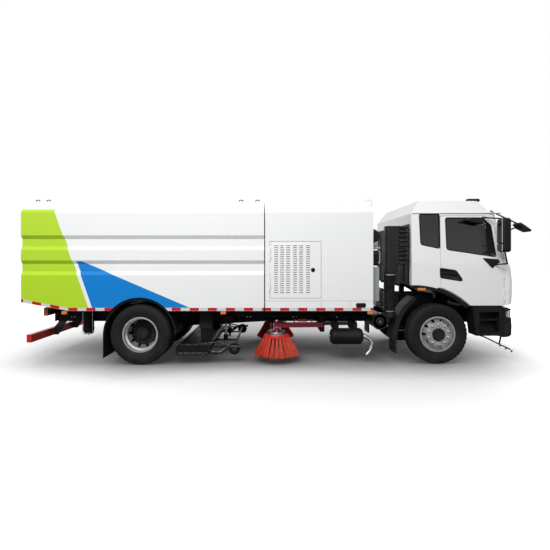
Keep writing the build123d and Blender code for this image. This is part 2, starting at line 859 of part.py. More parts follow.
def underrun_bar():
    front = underrun_rear + underrun_length
    bar = block(underrun_rear, front, -underrun_half_width, underrun_half_width, underrun_bottom, underrun_top)
    inner = rail_outer_half - rail_flange / 2
    points = [(rail_rear + crossmember_length * 2, rail_bottom), (rail_rear, rail_bottom), (front, underrun_top),
              (front, underrun_bottom), (front + underrun_length, underrun_bottom)]
    plate = side_plate(points, inner, inner + underrun_bracket)
    foot = block(rail_rear, rail_rear + crossmember_length * 2, inner, rail_outer_half, rail_bottom - underrun_bracket, rail_bottom)
    return bar + both(plate) + both(foot)


def rear_lamps():
    lamp = block(lamp_bar_rear - lamp_depth, lamp_bar_rear, lamp_inner, lamp_outer, lamp_bottom, lamp_top)
    return both(fillet(lamp.edges().filter_by(Axis.X), lamp_depth / 4))


def fuel_tank():
    corner = (fuel_top - fuel_bottom) / 5
    tank = side_plate([(fuel_rear, fuel_bottom), (fuel_front, fuel_bottom), (fuel_front, fuel_top), (fuel_rear, fuel_top)],
                      fuel_inner, fuel_outer)
    tank = fillet(tank.edges().filter_by(Axis.X), corner)
    for x in (fuel_rear + fuel_outer / 8, fuel_front - fuel_outer / 8):
        tank += block(x - strap_width / 2, x + strap_width / 2, rail_outer_half, fuel_inner + corner, fuel_bottom + corner * 2,
                      fuel_top - corner)
    return tank


def air_reservoir():
    x0 = reservoir_rear
    x1 = reservoir_front
    body = rod((x0, -reservoir_y, reservoir_z), (x1, -reservoir_y, reservoir_z), reservoir_radius)
    body = fillet(body.edges(), reservoir_radius / 2)
    for x in (x0 + strap_width * 2, x1 - strap_width * 2):
        body += block(x - strap_width / 2, x + strap_width / 2, -reservoir_y, -rail_outer_half,
                      reservoir_z + reservoir_radius / 2, rail_bottom + strap_width)
    return body


def air_intake():
    y0 = -riser_outer
    y1 = -riser_inner
    corner = (riser_outer - riser_inner) / 4
    riser = block(riser_rear, riser_front, y0, y1, riser_bottom, riser_top)
    riser = fillet(riser.edges().filter_by(Axis.Z), corner)
    head = block(riser_front - corner, head_front, y0, y1, head_bottom, riser_top)
    head = fillet(head.edges().filter_by(Axis.Z), corner)
    pitch = (riser_top - head_bottom) / (head_ribs + 1)
    for n in range(head_ribs):
        z = head_bottom + pitch * (n + 0.75)
        slot = block(riser_front, head_front + overrun, y0 - overrun, y1 + overrun, z, z + pitch / 2)
        core = block(riser_front, head_front - head_rib_depth, y0 + head_rib_depth, y1 - head_rib_depth, z, z + pitch / 2)
        head = head - (slot - core)
    x = duct_centre_x
    y = (y0 + y1) / 2
    duct = rod((x, y, cleaner_z + cleaner_radius / 2), (x, y, riser_bottom), duct_radius)
    cleaner = rod((cleaner_x, -cleaner_outer, cleaner_z), (cleaner_x, -cleaner_inner, cleaner_z), cleaner_radius)
    elbow = block(cleaner_x, x, y - duct_radius / 2, y + duct_radius / 2, cleaner_z, cleaner_z + cleaner_radius)
    arm = block(x - duct_radius / 2, x + duct_radius / 2, y, -rail_outer_half, rail_top - bearer_height, rail_top)
    foot = block(cleaner_x - duct_radius / 2, cleaner_x + duct_radius / 2, -cleaner_inner, -rail_outer_half, cleaner_z, cleaner_z + duct_radius)
    return riser + head + duct + cleaner + elbow + arm + foot


def front_mudguards():
    """Rear half of each front guard: a bowed skin behind the wheel with its flap."""
    back = ThreePointArc(*front_guard_back)
    inside = ThreePointArc(*reversed(front_guard_inside))
    face = Face(Wire([back, Line(back @ 1, inside @ 0), inside, Line(inside @ 1, back @ 0)]))
    plane = Plane(origin=(0, front_guard_inner, 0), x_dir=(1, 0, 0), z_dir=(0, -1, 0))
    guard = extrude(plane * face, amount=front_guard_outer - front_guard_inner, dir=(0, 1, 0))
    x, z = front_guard_inside[-1]
    x = x - flap_thickness
    guard += block(x - flap_thickness * 2, x, front_guard_inner, front_guard_outer, flap_bottom * 1.5, z)
    x = front_guard_back[1][0] + bracket_radius / 2
    z = rail_top - bracket_radius * 4
    guard += rod((x, rail_outer_half, z), (x, front_guard_inner + overrun, z), bracket_radius)
    return both(guard)


def rear_mudguards():
    outer = guard_radius + guard_skin
    z = hub_height
    guard = ring(0, z, guard_inner, guard_outer, outer, guard_radius)
    low = z + guard_skin
    guard = guard - block(-outer - overrun, outer + overrun, guard_inner - overrun, guard_outer + overrun, z - outer - overrun, low)
    flap = block(-outer, -outer + flap_thickness, guard_inner, guard_outer, flap_bottom, low)
    guard += flap
    x = sqrt((guard_radius + guard_skin / 2) ** 2 - (rail_top - z - bracket_radius * 4) ** 2)
    for way in (-1, 1):
        height = rail_top - bracket_radius * 4
        guard += rod((x * way, rail_outer_half, height), (x * way, guard_inner + overrun, height), bracket_radius) - rod(
            (0, 0, z), (0, guard_outer, z), guard_radius)
    return both(guard)


# Equipment compartment and hopper
def box_section(inset, channels, low):
    """The cross-section of the body, as half outlines joined over the roof."""
    half = body_half_width - inset
    slope = (roof_edge - side_top) / roof_edge_inset
    right = [(half, low)]
    if channels:
        for drop in channel_drops:
            bottom = roof_crown - drop
            right += [(half, bottom), (half - channel_depth, bottom + channel_slope)]
            right += [(half - channel_depth, bottom + channel_height - channel_slope), (half, bottom + channel_height)]
    edge = half - roof_edge_inset
    right += [(half, side_top - inset / 2), (edge, side_top - inset / 2 + roof_edge_inset * slope - inset / 3)]
    left = [(-y, z) for y, z in reversed(right)]
    crown = ThreePointArc(right[-1], (0, roof_crown - inset), left[0])
    lines = [Line(a, b) for a, b in zip(right, right[1:])]
    lines += [crown]
    lines += [Line(a, b) for a, b in zip(left, left[1:])]
    lines += [Line(left[-1], right[0])]
    return Face(Wire(lines))


def body_prism(inset, channels, low, x0, x1):
    plane = Plane(origin=(x0, 0, 0), x_dir=(0, 1, 0), z_dir=(1, 0, 0))
    return extrude(plane * box_section(inset, channels, low), amount=x1 - x0, dir=(1, 0, 0))


louvre_door_face = (
    (louvre_rear, louvre_bottom), (louvre_front, louvre_bottom),
    (louvre_front, louvre_top), (louvre_rear, louvre_top),
)


def louvre_hinges():
    """The door's hinge halves on the left side, low and high."""
    rows = []
    for z in (louvre_bottom + louvre_hinge_inset, louvre_top - louvre_hinge_inset):
        centre = (louvre_rear - panel_gap / 2, body_half_width, z)
        rows.append(leaf_hinge(centre, (0, 0, 1), (-1, 0, 0)))
    return rows


def compartment():
    shell = body_prism(0, False, body_bottom, compartment_rear, compartment_front)
    floor_top = subframe_top + compartment_wall
    space = body_prism(compartment_wall, False, floor_top, compartment_rear + compartment_wall,
                       compartment_front - compartment_wall)
    below = block(compartment_rear - overrun, compartment_front + overrun, -bearer_half_width - seat_gap,
                  bearer_half_width + seat_gap, body_bottom - overrun, subframe_top)
    shell = shell - space - below
    grown = [
        (louvre_rear - panel_gap, louvre_bottom - panel_gap), (louvre_front + panel_gap, louvre_bottom - panel_gap),
        (louvre_front + panel_gap, louvre_top + panel_gap), (louvre_rear - panel_gap, louvre_top + panel_gap),
    ]
    opening = side_plate(grown, body_half_width - compartment_wall - overrun, body_half_width + overrun)
    fixed = None
    for recess, fixed_half, moving_half in louvre_hinges():
        opening += recess
        fixed = fixed_half if fixed is None else fixed + fixed_half
    return shell - both(opening) + both(fixed)


def compartment_door():
    inner = body_half_width - compartment_wall
    door = side_plate(louvre_door_face, inner, body_half_width)
    for recess, fixed_half, moving_half in louvre_hinges():
        door = door - recess + moving_half
    return door


def auxiliary_engine():
    low = subframe_top + compartment_wall
    return block(aux_rear, aux_front, -aux_half_width, aux_half_width, low, aux_top)


rear_slope = (rear_cut_top - body_bottom) / (rear_cut_front + rear_reach)
floor_rise = subframe_top - body_bottom
tailgate_low = body_bottom + floor_rise + wall + rear_slope * (rear_cut_front + rear_reach) + panel_gap


def hopper_side(lift, x0, x1, high):
    """Side outline above the sloped underside, raised by a lift."""
    at_rear = body_bottom + lift + rear_slope * (rear_cut_front - x0)
    return [(x0, at_rear), (rear_cut_front, body_bottom + lift), (x1, body_bottom + lift), (x1, high), (x0, high)]


def hopper_lug():
    """Middle knuckle of the hopper hinge with its web up to the floor."""
    centre = (hopper_pivot_x, hopper_pivot_y, hopper_pivot_z)
    hinge = knuckles(centre, (0, 1, 0), pivot_radius, pivot_pin_radius, pivot_segment)
    floor = body_bottom + floor_rise + rear_slope * (rear_cut_front - hopper_pivot_x) + wall / 2
    web = block(hopper_pivot_x - pivot_radius, hopper_pivot_x + pivot_radius, hopper_pivot_y - pivot_segment / 2,
                hopper_pivot_y + pivot_segment / 2, hopper_pivot_z, floor)
    pin = pivot_pin_radius + pin_clearance
    hole = rod((hopper_pivot_x, 0, hopper_pivot_z), (hopper_pivot_x, body_half_width, hopper_pivot_z), pin)
    return both(hinge.moving + (web - hole))


def cylinder_ears():
    """Two plates under the hopper floor that flank the cylinder's rod eye."""
    half = eye_half_width + seat_gap * 5
    top = subframe_top + wall / 2
    points = [(cylinder_eye_x - eye_radius * 3, top), (cylinder_eye_x - eye_radius * 2, cylinder_eye_z - eye_radius / 2),
              (cylinder_eye_x + eye_radius * 2, cylinder_eye_z - eye_radius / 2), (cylinder_eye_x + eye_radius * 3, top)]
    return both(side_plate(points, half, half + lug_plate))


def tailgate_hinges():
    rows = []
    x = -rear_reach + tailgate_inset
    z = tailgate_top + panel_gap / 2
    for y in (-tailgate_hinge_y, tailgate_hinge_y):
        rows.append(leaf_hinge((x, y, z), (0, 1, 0), (0, 0, 1)))
    return rows


def duct_opening(grow, z0, z1):
    return both(block(duct_x - spigot_half_length - grow, duct_x + spigot_half_length + grow,
                      duct_y - spigot_half_width - grow, duct_y + spigot_half_width + grow, z0, z1))


def hopper():
    high = roof_crown + overrun
    rear = -rear_reach
    shape = body_prism(0, True, body_bottom - overrun, rear, hopper_front)
    shape = shape & side_plate(hopper_side(0, rear, hopper_front, high), -body_half_width, body_half_width)
    under = [(rear - overrun, body_bottom - overrun), (hopper_front + overrun, body_bottom - overrun),
             (hopper_front + overrun, subframe_top), (rear_cut_front, subframe_top),
             (rear - overrun, subframe_top + rear_slope * (rear_cut_front - rear + overrun))]
    half = body_half_width - skirt
    shape = shape - side_plate(under, -half, half)
    wheel_space = rod((0, arch_inner_half, hub_height), (0, body_half_width + overrun, hub_height), arch_radius)
    shape = shape - both(wheel_space)
    lift = floor_rise + wall
    inner_rear = rear + tailgate_inset + tailgate_thickness + wall
    space = body_prism(wall, False, body_bottom, inner_rear, hopper_front - wall)
    space = space & side_plate(hopper_side(lift, inner_rear, hopper_front - wall, high), -body_half_width, body_half_width)
    boxes = rod((0, arch_inner_half - wall, hub_height), (0, body_half_width, hub_height), arch_radius + wall)
    shape = shape - (space - both(boxes))
    gate = tailgate_half_width + panel_gap
    low = tailgate_low - panel_gap
    mouth = block(rear - overrun, inner_rear + overrun, -gate, gate, low, tailgate_top + panel_gap * 2)
    shape = shape - mouth
    for recess, fixed_half, moving_half in tailgate_hinges():
        shape = shape - recess + fixed_half
    shape = shape - duct_opening(duct_gap, subframe_top - overrun, subframe_top + wall + overrun)
    solids = (hopper_lug() - shape).solids() + (cylinder_ears() - shape).solids()
    for panel in hopper_panels():
        solids += (shape & panel).solids()
    return Compound(solids)


def hopper_panels():
    """The spaces of the hopper's welded panels: front wall, rear frame, roof, eaves, sides
    parted at the wheel boxes, wheel boxes and floor."""
    out = body_half_width + overrun
    top = roof_crown + overrun
    bottom = body_bottom - overrun - pivot_radius
    rear = -rear_reach - overrun
    frame = -rear_reach + tailgate_inset + tailgate_thickness + wall
    front = hopper_front - wall
    box = arch_radius + wall
    box_top = hub_height + box
    box_side = arch_inner_half
    box_face = arch_inner_half - wall
    side = body_half_width - wall
    eave = side - roof_edge_inset
    eave_low = side_top - wall / 2
    gate = tailgate_half_width + panel_gap
    gate_top = tailgate_top + panel_gap * 2
    gate_low = tailgate_low - panel_gap
    rows = (
        (front, hopper_front + overrun, -out, out, bottom, top),
        (rear, frame, -out, out, gate_top, top),
        (rear, frame, -gate, gate, bottom, gate_low),
        (frame, front, -eave, eave, eave_low, top),
        (frame, rear_cut_front, -side, side, bottom, eave_low),
        (rear_cut_front, -box, -side, side, bottom, eave_low),
        (-box, box, -box_face, box_face, bottom, eave_low),
        (box, front, -side, side, bottom, eave_low),
    )
    handed = (
        (rear, frame, gate, out, bottom, gate_top),
        (frame, front, eave, out, eave_low, top),
        (frame, -box, side, out, bottom, eave_low),
        (-box, box, side, out, box_top, eave_low),
        (-box, 0, side, out, bottom, box_top),
        (0, box, side, out, bottom, box_top),
        (box, front, side, out, bottom, eave_low),
        (-box, box, box_face, box_side, bottom, eave_low),
        (-box, 0, box_side, side, bottom, eave_low),
        (0, box, box_side, side, bottom, eave_low),
    )
    spaces = [block(*row) for row in rows]
    for row in handed:
        spaces += [block(*row), mirrored(block(*row))]
    return spaces


def tailgate():
    x0 = -rear_reach + tailgate_inset
    x1 = x0 + tailgate_thickness
    half = tailgate_half_width
    gate = block(x0 + tailgate_rib, x1, -half, half, tailgate_low, tailgate_top)
    for share in (0.0, 0.33, 0.66, 1.0):
        z = tailgate_low + (tailgate_top - tailgate_low - strap_width) * share
        gate += block(x0, x0 + tailgate_rib, -half, half, z, z + strap_width)
    for share in (-1.0, -0.5, 0.0, 0.5, 1.0):
        y = (half - strap_width / 2) * share
        gate += block(x0, x0 + tailgate_rib, y - strap_width / 2, y + strap_width / 2, tailgate_low, tailgate_top)
    for recess, fixed_half, moving_half in tailgate_hinges():
        gate = gate - recess + moving_half
    return gate


# Tipping cylinder
def cylinder_way():
    base = Vector(cylinder_base_x, 0, cylinder_base_z)
    eye = Vector(cylinder_eye_x, 0, cylinder_eye_z)
    return base, eye, (eye - base).normalized()


def lift_barrel():
    base, eye, way = cylinder_way()
    end = base + way * barrel_length
    body = rod(base + way * (eye_radius / 2), end, barrel_radius)
    ear = rod((base.X, -eye_half_width, base.Z), (base.X, eye_half_width, base.Z), eye_radius)
    body = body - rod((base.X, -barrel_radius * 2, base.Z), (base.X, barrel_radius * 2, base.Z), eye_radius) + ear
    body = body - block(base.X - eye_radius, base.X + eye_radius, eye_half_width, barrel_radius * 2, base.Z - eye_radius * 2, base.Z + eye_radius * 2)
    body = body - block(base.X - eye_radius, base.X + eye_radius, -barrel_radius * 2, -eye_half_width, base.Z - eye_radius * 2, base.Z + eye_radius * 2)
    bore = rod((base.X, -barrel_radius * 2, base.Z), (base.X, barrel_radius * 2, base.Z), eye_radius / 2 + pin_clearance)
    inner = rod(end - way * (rod_engaged + overrun), end + way * overrun, rod_radius + pin_clearance)
    return body - bore - inner


def lift_rod():
    base, eye, way = cylinder_way()
    start = base + way * (barrel_length - rod_engaged)
    shaft = rod(start, eye, rod_radius)
    return shaft + rod((eye.X, -eye_half_width, eye.Z), (eye.X, eye_half_width, eye.Z), eye_radius)


# Cab
def cab_ring(height, half, nose, rear, inset):
    """Plan of the cab at one level: flat back and sides, rounded corners, bowed front."""
    left = [(rear + inset, half - inset, height)]
    for back_share, in_share in cab_plan_shares:
        x = nose - inset - cab_nose_depth * back_share
        left.append((x, half - inset - cab_nose_width * in_share, height))
    return left + [(x, -y, z) for x, y, z in reversed(left)]


def cab_form(inset, low, high):
    """The cab's outside shape set in by a distance, between a low and a high level. Each
    level has the same corner, so the faces between two levels are flat."""
    rows = [(low, *cab_levels[0][1:]), *cab_levels[1:-1], (high, *cab_levels[-1][1:])]
    rings = [cab_ring(*row, inset) for row in rows]
    faces = [outline(rings[0]), outline(rings[-1])]
    for lower, upper in zip(rings, rings[1:]):
        for n in range(len(lower)):
            faces.append(outline([lower[n - 1], lower[n], upper[n], upper[n - 1]]))
    return Part([Solid(Shell(faces))])


cab_bottom = cab_levels[0][0]
cab_top = cab_levels[-1][0]


def arch_cylinder(radius, half):
    return rod((cab_arch_x, -half, cab_arch_z), (cab_arch_x, half, cab_arch_z), radius)


def door_outline(grow):
    points = [
        (door_rear - grow, cab_bottom - grow), (door_front + grow, cab_bottom - grow), (door_front + grow, door_belt),
        (door_pillar_x + grow, door_pillar_z), (door_top_front + grow, door_top + grow), (door_rear - grow, door_top + grow),
    ]
    return points


def door_space(grow):
    """The door's block of space on the left side, grown by the gap round it."""
    inner = cab_levels[0][1] - cab_wall * 3
    space = side_plate(door_outline(grow), inner, cab_levels[0][1] + overrun, door_corner)
    return space - arch_cylinder(cab_arch_radius + sill - grow * 2, cab_levels[0][1] * 2)


def cab_walls():
    outside = cab_form(0, cab_bottom, cab_top)
    inside = cab_form(cab_wall, cab_bottom + cab_floor, cab_top - cab_wall)
    inside = inside - arch_cylinder(cab_arch_radius + cab_floor, cab_levels[0][1] * 2)
    return outside - inside - arch_cylinder(cab_arch_radius, cab_levels[0][1] * 2)


def side_window(points):
    return side_plate(points, cab_levels[0][1] - cab_wall * 4, cab_levels[0][1] + overrun, window_corner)


def windscreen_space():
    points = [(-screen_bottom_half, screen_bottom), (screen_bottom_half, screen_bottom),
              (screen_top_half, screen_top), (-screen_top_half, screen_top)]
    nose = cab_levels[0][2]
    return front_plate(points, nose - cab_nose_depth * 2, nose + overrun, screen_corner)


def glass_layer():
    outer = cab_form(glass_inset, cab_bottom + glass_inset, cab_top - glass_inset)
    back = glass_inset + glass_thickness
    return outer - cab_form(back, cab_bottom + back, cab_top - back)


def door_hinges():
    rows = []
    for z in door_hinge_heights:
        centre = (door_front + panel_gap / 2, cab_levels[0][1] - door_hinge_inset, z)
        rows.append(leaf_hinge(centre, (0, 0, 1), (1, 0, 0)))
    return rows


walls = cab_walls()


def cab_arms():
    centre = (cab_pivot_x, cab_pivot_y, cab_pivot_z)
    hinge = knuckles(centre, (0, 1, 0), cab_pivot_radius, cab_pivot_pin, cab_arm_half * 2)
    half = cab_arm_half
    web = block(cab_pivot_x - cab_pivot_radius, cab_pivot_x + cab_pivot_radius, cab_pivot_y - half, cab_pivot_y + half,
                cab_pivot_z, cab_bottom + cab_floor / 2)
    hole = rod((cab_pivot_x, 0, cab_pivot_z), (cab_pivot_x, cab_pivot_y * 2, cab_pivot_z), cab_pivot_pin + pin_clearance)
    return both(hinge.moving + (web - hole))


def grille_space(depth, bottom, top, half):
    nose = cab_levels[0][2]
    window = block(nose - cab_nose_depth * 2, nose + overrun, -half, half, bottom, top)
    skin = cab_form(0, cab_bottom, cab_top) - cab_form(depth, cab_bottom, cab_top)
    return window & skin


def cab_shell():
    shell = walls - both(door_space(panel_gap)) - both(side_window(quarter_window)) - windscreen_space()
    fixed = None
    for recess, fixed_half, moving_half in door_hinges():
        shell = shell - both(recess)
        fixed = fixed_half if fixed is None else fixed + fixed_half
    shell = shell - grille_space(grille_depth, grille_bottom, grille_top, grille_half_width)
    return shell + both(fixed) + cab_arms()


def cab_grille():
    depth = grille_depth
    panel = grille_space(depth, grille_bottom, grille_top, grille_half_width)
    face = grille_space(depth * 2 / 3, grille_bottom - overrun, grille_top + overrun, grille_half_width + overrun)
    pitch = (grille_top - grille_bottom) / grille_bars
    nose = cab_levels[0][2]
    edge = grille_half_width - grille_bar
    for n in range(grille_bars):
        low = grille_bottom + pitch * n + grille_bar
        gap = block(nose - cab_nose_depth * 2, nose + overrun, -edge, edge, low, low + pitch - grille_bar)
        panel = panel - (gap & face)
    return panel


def cab_glass():
    layer = glass_layer()
    screen = layer & windscreen_space()
    quarter = layer & side_window(quarter_window)
    return screen + quarter + mirrored(quarter)


def cab_door():
    skin = cab_form(0, cab_bottom, cab_top) - cab_form(cab_wall, cab_bottom, cab_top)
    door = skin & door_space(0)
    door = door - side_window(door_window)
    for recess, fixed_half, moving_half in door_hinges():
        door = door - recess + moving_half
    return door


def door_glass():
    return glass_layer() & side_window(door_window)


def cab_arch_trims():
    half = cab_levels[0][1] + trim_stand
    band = ring(cab_arch_x, cab_arch_z, half - trim_depth, half, cab_arch_radius, cab_arch_radius - trim_thickness)
    front = cab_arch_x + sqrt(cab_arch_radius**2 - (cab_bottom - cab_arch_z) ** 2)
    keep = block(cab_levels[0][3], front, half - trim_depth, half, cab_bottom - trim_thickness, cab_top)
    return both(band & keep)


def cab_seats():
    floor = cab_bottom + cab_floor + seat_gap
    y0 = seat_y - seat_half_width
    y1 = seat_y + seat_half_width
    x1 = seat_rear + seat_length
    cushion = block(seat_rear, x1, y0, y1, seat_base_top, seat_base_top + seat_cushion)
    cushion = fillet(cushion.edges(), seat_cushion / 4)
    lean = seat_back_thickness
    back = [(seat_rear - lean, seat_base_top + seat_back_height), (seat_rear, seat_base_top), (seat_rear + lean, seat_base_top),
            (seat_rear + lean * 0.2, seat_base_top + seat_back_height)]
    back = fillet(side_plate(back, y0, y1).edges(), seat_back_thickness / 5)
    stand = block(seat_rear + lean, x1 - lean, y0 + lean / 2, y1 - lean / 2, floor, seat_base_top + lean / 4)
    stand = stand - arch_cylinder(cab_arch_radius + cab_floor + seat_gap, cab_levels[0][1])
    return both(cushion + back + stand)


def cab_dashboard():
    inside = cab_form(cab_wall, cab_bottom + cab_floor, cab_top - cab_wall)
    points = [(dash_rear, dash_top - seat_cushion), (dash_rear + seat_cushion, dash_bottom), (cab_levels[0][2], dash_bottom),
              (cab_levels[0][2], dash_top), (dash_rear + seat_cushion / 2, dash_top)]
    dash = side_plate(points, -dash_half_width, dash_half_width) & inside
    centre = Vector(steering_wheel_x, seat_y, steering_wheel_z)
    foot = Vector(dash_rear + seat_cushion, seat_y, dash_bottom + seat_cushion)
    way = (foot - centre).normalized()
    column = rod(centre, foot, column_radius)
    wheel = Plane(origin=centre, z_dir=way) * Torus(steering_wheel_radius, steering_wheel_rim)
    plane = Plane(origin=centre, z_dir=way)
    spokes = plane * Box(steering_wheel_radius * 2, column_radius, steering_wheel_rim)
    hub_pad = plane * Cylinder(column_radius * 2, column_radius)
    return dash + column + wheel + spokes + hub_pad


# Mirrors
def mirror_arms():
    x = (mirror_rear + mirror_front) / 2
    y = (mirror_inner + mirror_outer) / 2
    face = cab_levels[0][1]
    r = mirror_arm_radius
    shell = block(mirror_rear, mirror_front, mirror_inner, mirror_outer, mirror_bottom, mirror_top)
    shell = fillet(shell.edges(), mirror_corner)
    side = face - r
    top = (door_top_front - door_corner, side - cab_wall / 2, door_top - r * 2)
    upper = rod(top, (x, y, mirror_top - r), r)
    low = (door_pillar_x, side, door_belt - r * 4)
    lower = rod(low, (x + r * 4, y, low[2] + r * 2), r) + rod((x + r * 4, y, low[2] + r * 2), (x, y, mirror_bottom + mirror_corner), r)
    return shell + upper + lower


def door_mirror_left():
    return mirror_arms() - cab_form(0, cab_bottom, cab_top)


def kerb_mirror():
    face = cab_levels[2][1]
    z = door_top - mirror_arm_radius * 2
    y0 = face + mirror_arm_radius * 3
    y1 = y0 + mirror_arm_radius * 10
    low = z - kerb_mirror_drop
    x = kerb_mirror_rear + kerb_mirror_rise
    points = [(kerb_mirror_rear, z - kerb_mirror_drop / 2), (kerb_mirror_front, low),
              (kerb_mirror_front, low + kerb_mirror_lip), (x, z - mirror_arm_radius)]
    shell = side_plate(points, y0, y1, mirror_arm_radius)
    x = x + mirror_arm_radius
    arm = rod((x, face - mirror_arm_radius, z), (x, y0 + mirror_arm_radius, z - kerb_mirror_drop / 4), mirror_arm_radius)
    return (shell + arm) - cab_form(0, cab_bottom, cab_top)


def front_mirror():
    """Mirror on an arm ahead of the kerb-side corner, with the arm and its strut."""
    top = front_mirror_top
    low = top - front_mirror_drop
    lip = front_mirror_lip
    x = front_mirror_rear + lip * 2
    points = [(front_mirror_rear, top - lip), (front_mirror_rear + lip, top), (front_reach, low + lip), (front_reach - lip, low),
              (x, low + lip * 2)]
    shell = side_plate(points, -front_mirror_outer, -front_mirror_inner, mirror_arm_radius / 2)
    y = -(front_mirror_outer + front_mirror_inner) / 2
    arm = rod(front_arm_foot, (x, y, top - lip), mirror_arm_radius)
    strut = rod(front_strut_foot, (x, y, top - lip * 2), mirror_arm_radius)
    return (shell + arm + strut) - cab_form(0, cab_bottom, cab_top)


# Bumper, headlamps, steps
def bumper_form(inset, grow=0):
    """The bumper's outside shape set in by a distance and made taller at both ends."""
    nose = cab_levels[0][2]
    low = bumper_bottom - grow
    high = bumper_top + grow
    face = outline(cab_ring(low, bumper_half_width, nose, step_rear_bottom, inset))
    form = extrude(face, amount=high - low, dir=(0, 0, 1))
    return form & block(bumper_rear, nose, -bumper_half_width, bumper_half_width, low, high)


def headlamp_space():
    return block(bumper_rear + bumper_wall, cab_levels[0][2] + overrun, headlamp_inner, bumper_half_width + overrun, headlamp_bottom, headlamp_top)


def headlamps():
    return both(headlamp_space() & (bumper_form(0) - bumper_form(headlamp_depth)))


def front_bumper():
    shell = bumper_form(0) - bumper_form(bumper_wall, overrun)
    nose = cab_levels[0][2]
    centre = block(bumper_rear - overrun, nose + overrun, -bumper_centre_half, bumper_centre_half, bumper_centre_top, bumper_top + overrun)
    tow = block(bumper_rear, nose + overrun, -tow_half_width * 1.5, tow_half_width * 1.5, tow_low - overrun, bumper_top)
    shell = shell - centre - tow - both(headlamp_space() & (bumper_form(0) - bumper_form(headlamp_depth)))
    inner = rail_outer_half - rail_flange
    bracket = block(rail_front - bumper_wall, nose, inner, rail_outer_half, rail_bottom - bumper_wall, rail_bottom)
    reach = bumper_form(bumper_wall / 2) + block(rail_front - bumper_wall, bumper_rear, inner, rail_outer_half, bumper_bottom, bumper_top)
    return shell + both(bracket & reach)


def cab_steps():
    points = [(step_rear_top, step_top), (step_rear_bottom, step_bottom), (step_front, step_bottom), (step_front, step_top)]
    outer = bumper_half_width
    box = side_plate(points, step_inner, outer)
    well = [(step_rear_bottom + step_tread, step_bottom + step_tread), (step_front - step_tread, step_bottom + step_tread),
            (step_front - step_tread, step_top - step_tread * 2), (step_rear_bottom + step_tread, step_top - step_tread * 2)]
    box = box - side_plate(well, outer - step_well_depth, outer + overrun, step_tread / 2)
    middle = (step_bottom + step_top) / 2
    box += block(step_rear_bottom + step_tread / 2, step_front - step_tread / 2, outer - step_well_depth - step_tread / 2, outer - step_tread, middle, middle + step_tread / 2)
    arm = block(step_front - step_tread * 6, step_front - step_tread * 4, rail_outer_half, step_inner, middle, middle + step_tread)
    return both(box + arm)


# Brushes
def brush_brackets():
    centre = (arm_pivot_x, arm_pivot_y, (arm_bottom + arm_top) / 2)
    segment = arm_top - arm_bottom
    hinge = knuckles(centre, (0, 0, 1), arm_pivot_radius, arm_pin_radius, segment)
    inner = rail_outer_half
    plate = block(arm_pivot_x - arm_half_width, arm_pivot_x + arm_half_width, inner, arm_pivot_y, arm_bracket_bottom, arm_bracket_top)
    swing = rod((arm_pivot_x, arm_pivot_y, arm_bottom - seat_gap), (arm_pivot_x, arm_pivot_y, arm_top + seat_gap), arm_pivot_radius * 3)
    return both(hinge.fixed + (plate - swing))


def brush_arm():
    centre = (arm_pivot_x, arm_pivot_y, (arm_bottom + arm_top) / 2)
    segment = arm_top - arm_bottom
    hinge = knuckles(centre, (0, 0, 1), arm_pivot_radius, arm_pin_radius, segment)
    way = Vector(brush_x - arm_pivot_x, brush_y - arm_pivot_y, 0)
    plane = Plane(origin=(arm_pivot_x, arm_pivot_y, arm_bottom), x_dir=way, z_dir=(0, 0, 1))
    beam = Pos(0, -arm_half_width, 0) * Box(way.length, arm_half_width * 2, segment, align=(Align.MIN, Align.MIN, Align.MIN))
    bore = rod((arm_pivot_x, arm_pivot_y, arm_bottom - overrun), (arm_pivot_x, arm_pivot_y, arm_top + overrun), arm_pin_radius + pin_clearance)
    motor = rod((brush_x, brush_y, brush_plate_top + seat_gap), (brush_x, brush_y, motor_top), motor_radius)
    return (plane * beam - bore) + hinge.moving + motor


def brush():
    plate = rod((brush_x, brush_y, brush_plate_top - brush_plate_radius / 4), (brush_x, brush_y, brush_plate_top), brush_plate_radius)
    collar = rod((brush_x, brush_y, bristle_top), (brush_x, brush_y, brush_plate_top), bristle_top_radius * 2 / 3)
    cone = Pos(brush_x, brush_y, brush_bottom) * Cone(brush_radius, bristle_top_radius, bristle_top - brush_bottom, align=(Align.CENTER, Align.CENTER, Align.MIN))
    hollow = Pos(brush_x, brush_y, brush_bottom - overrun) * Cone(brush_radius * 0.7, bristle_top_radius / 2, (bristle_top - brush_bottom) * 0.8, align=(Align.CENTER, Align.CENTER, Align.MIN))
    return cone - hollow + plate + collar


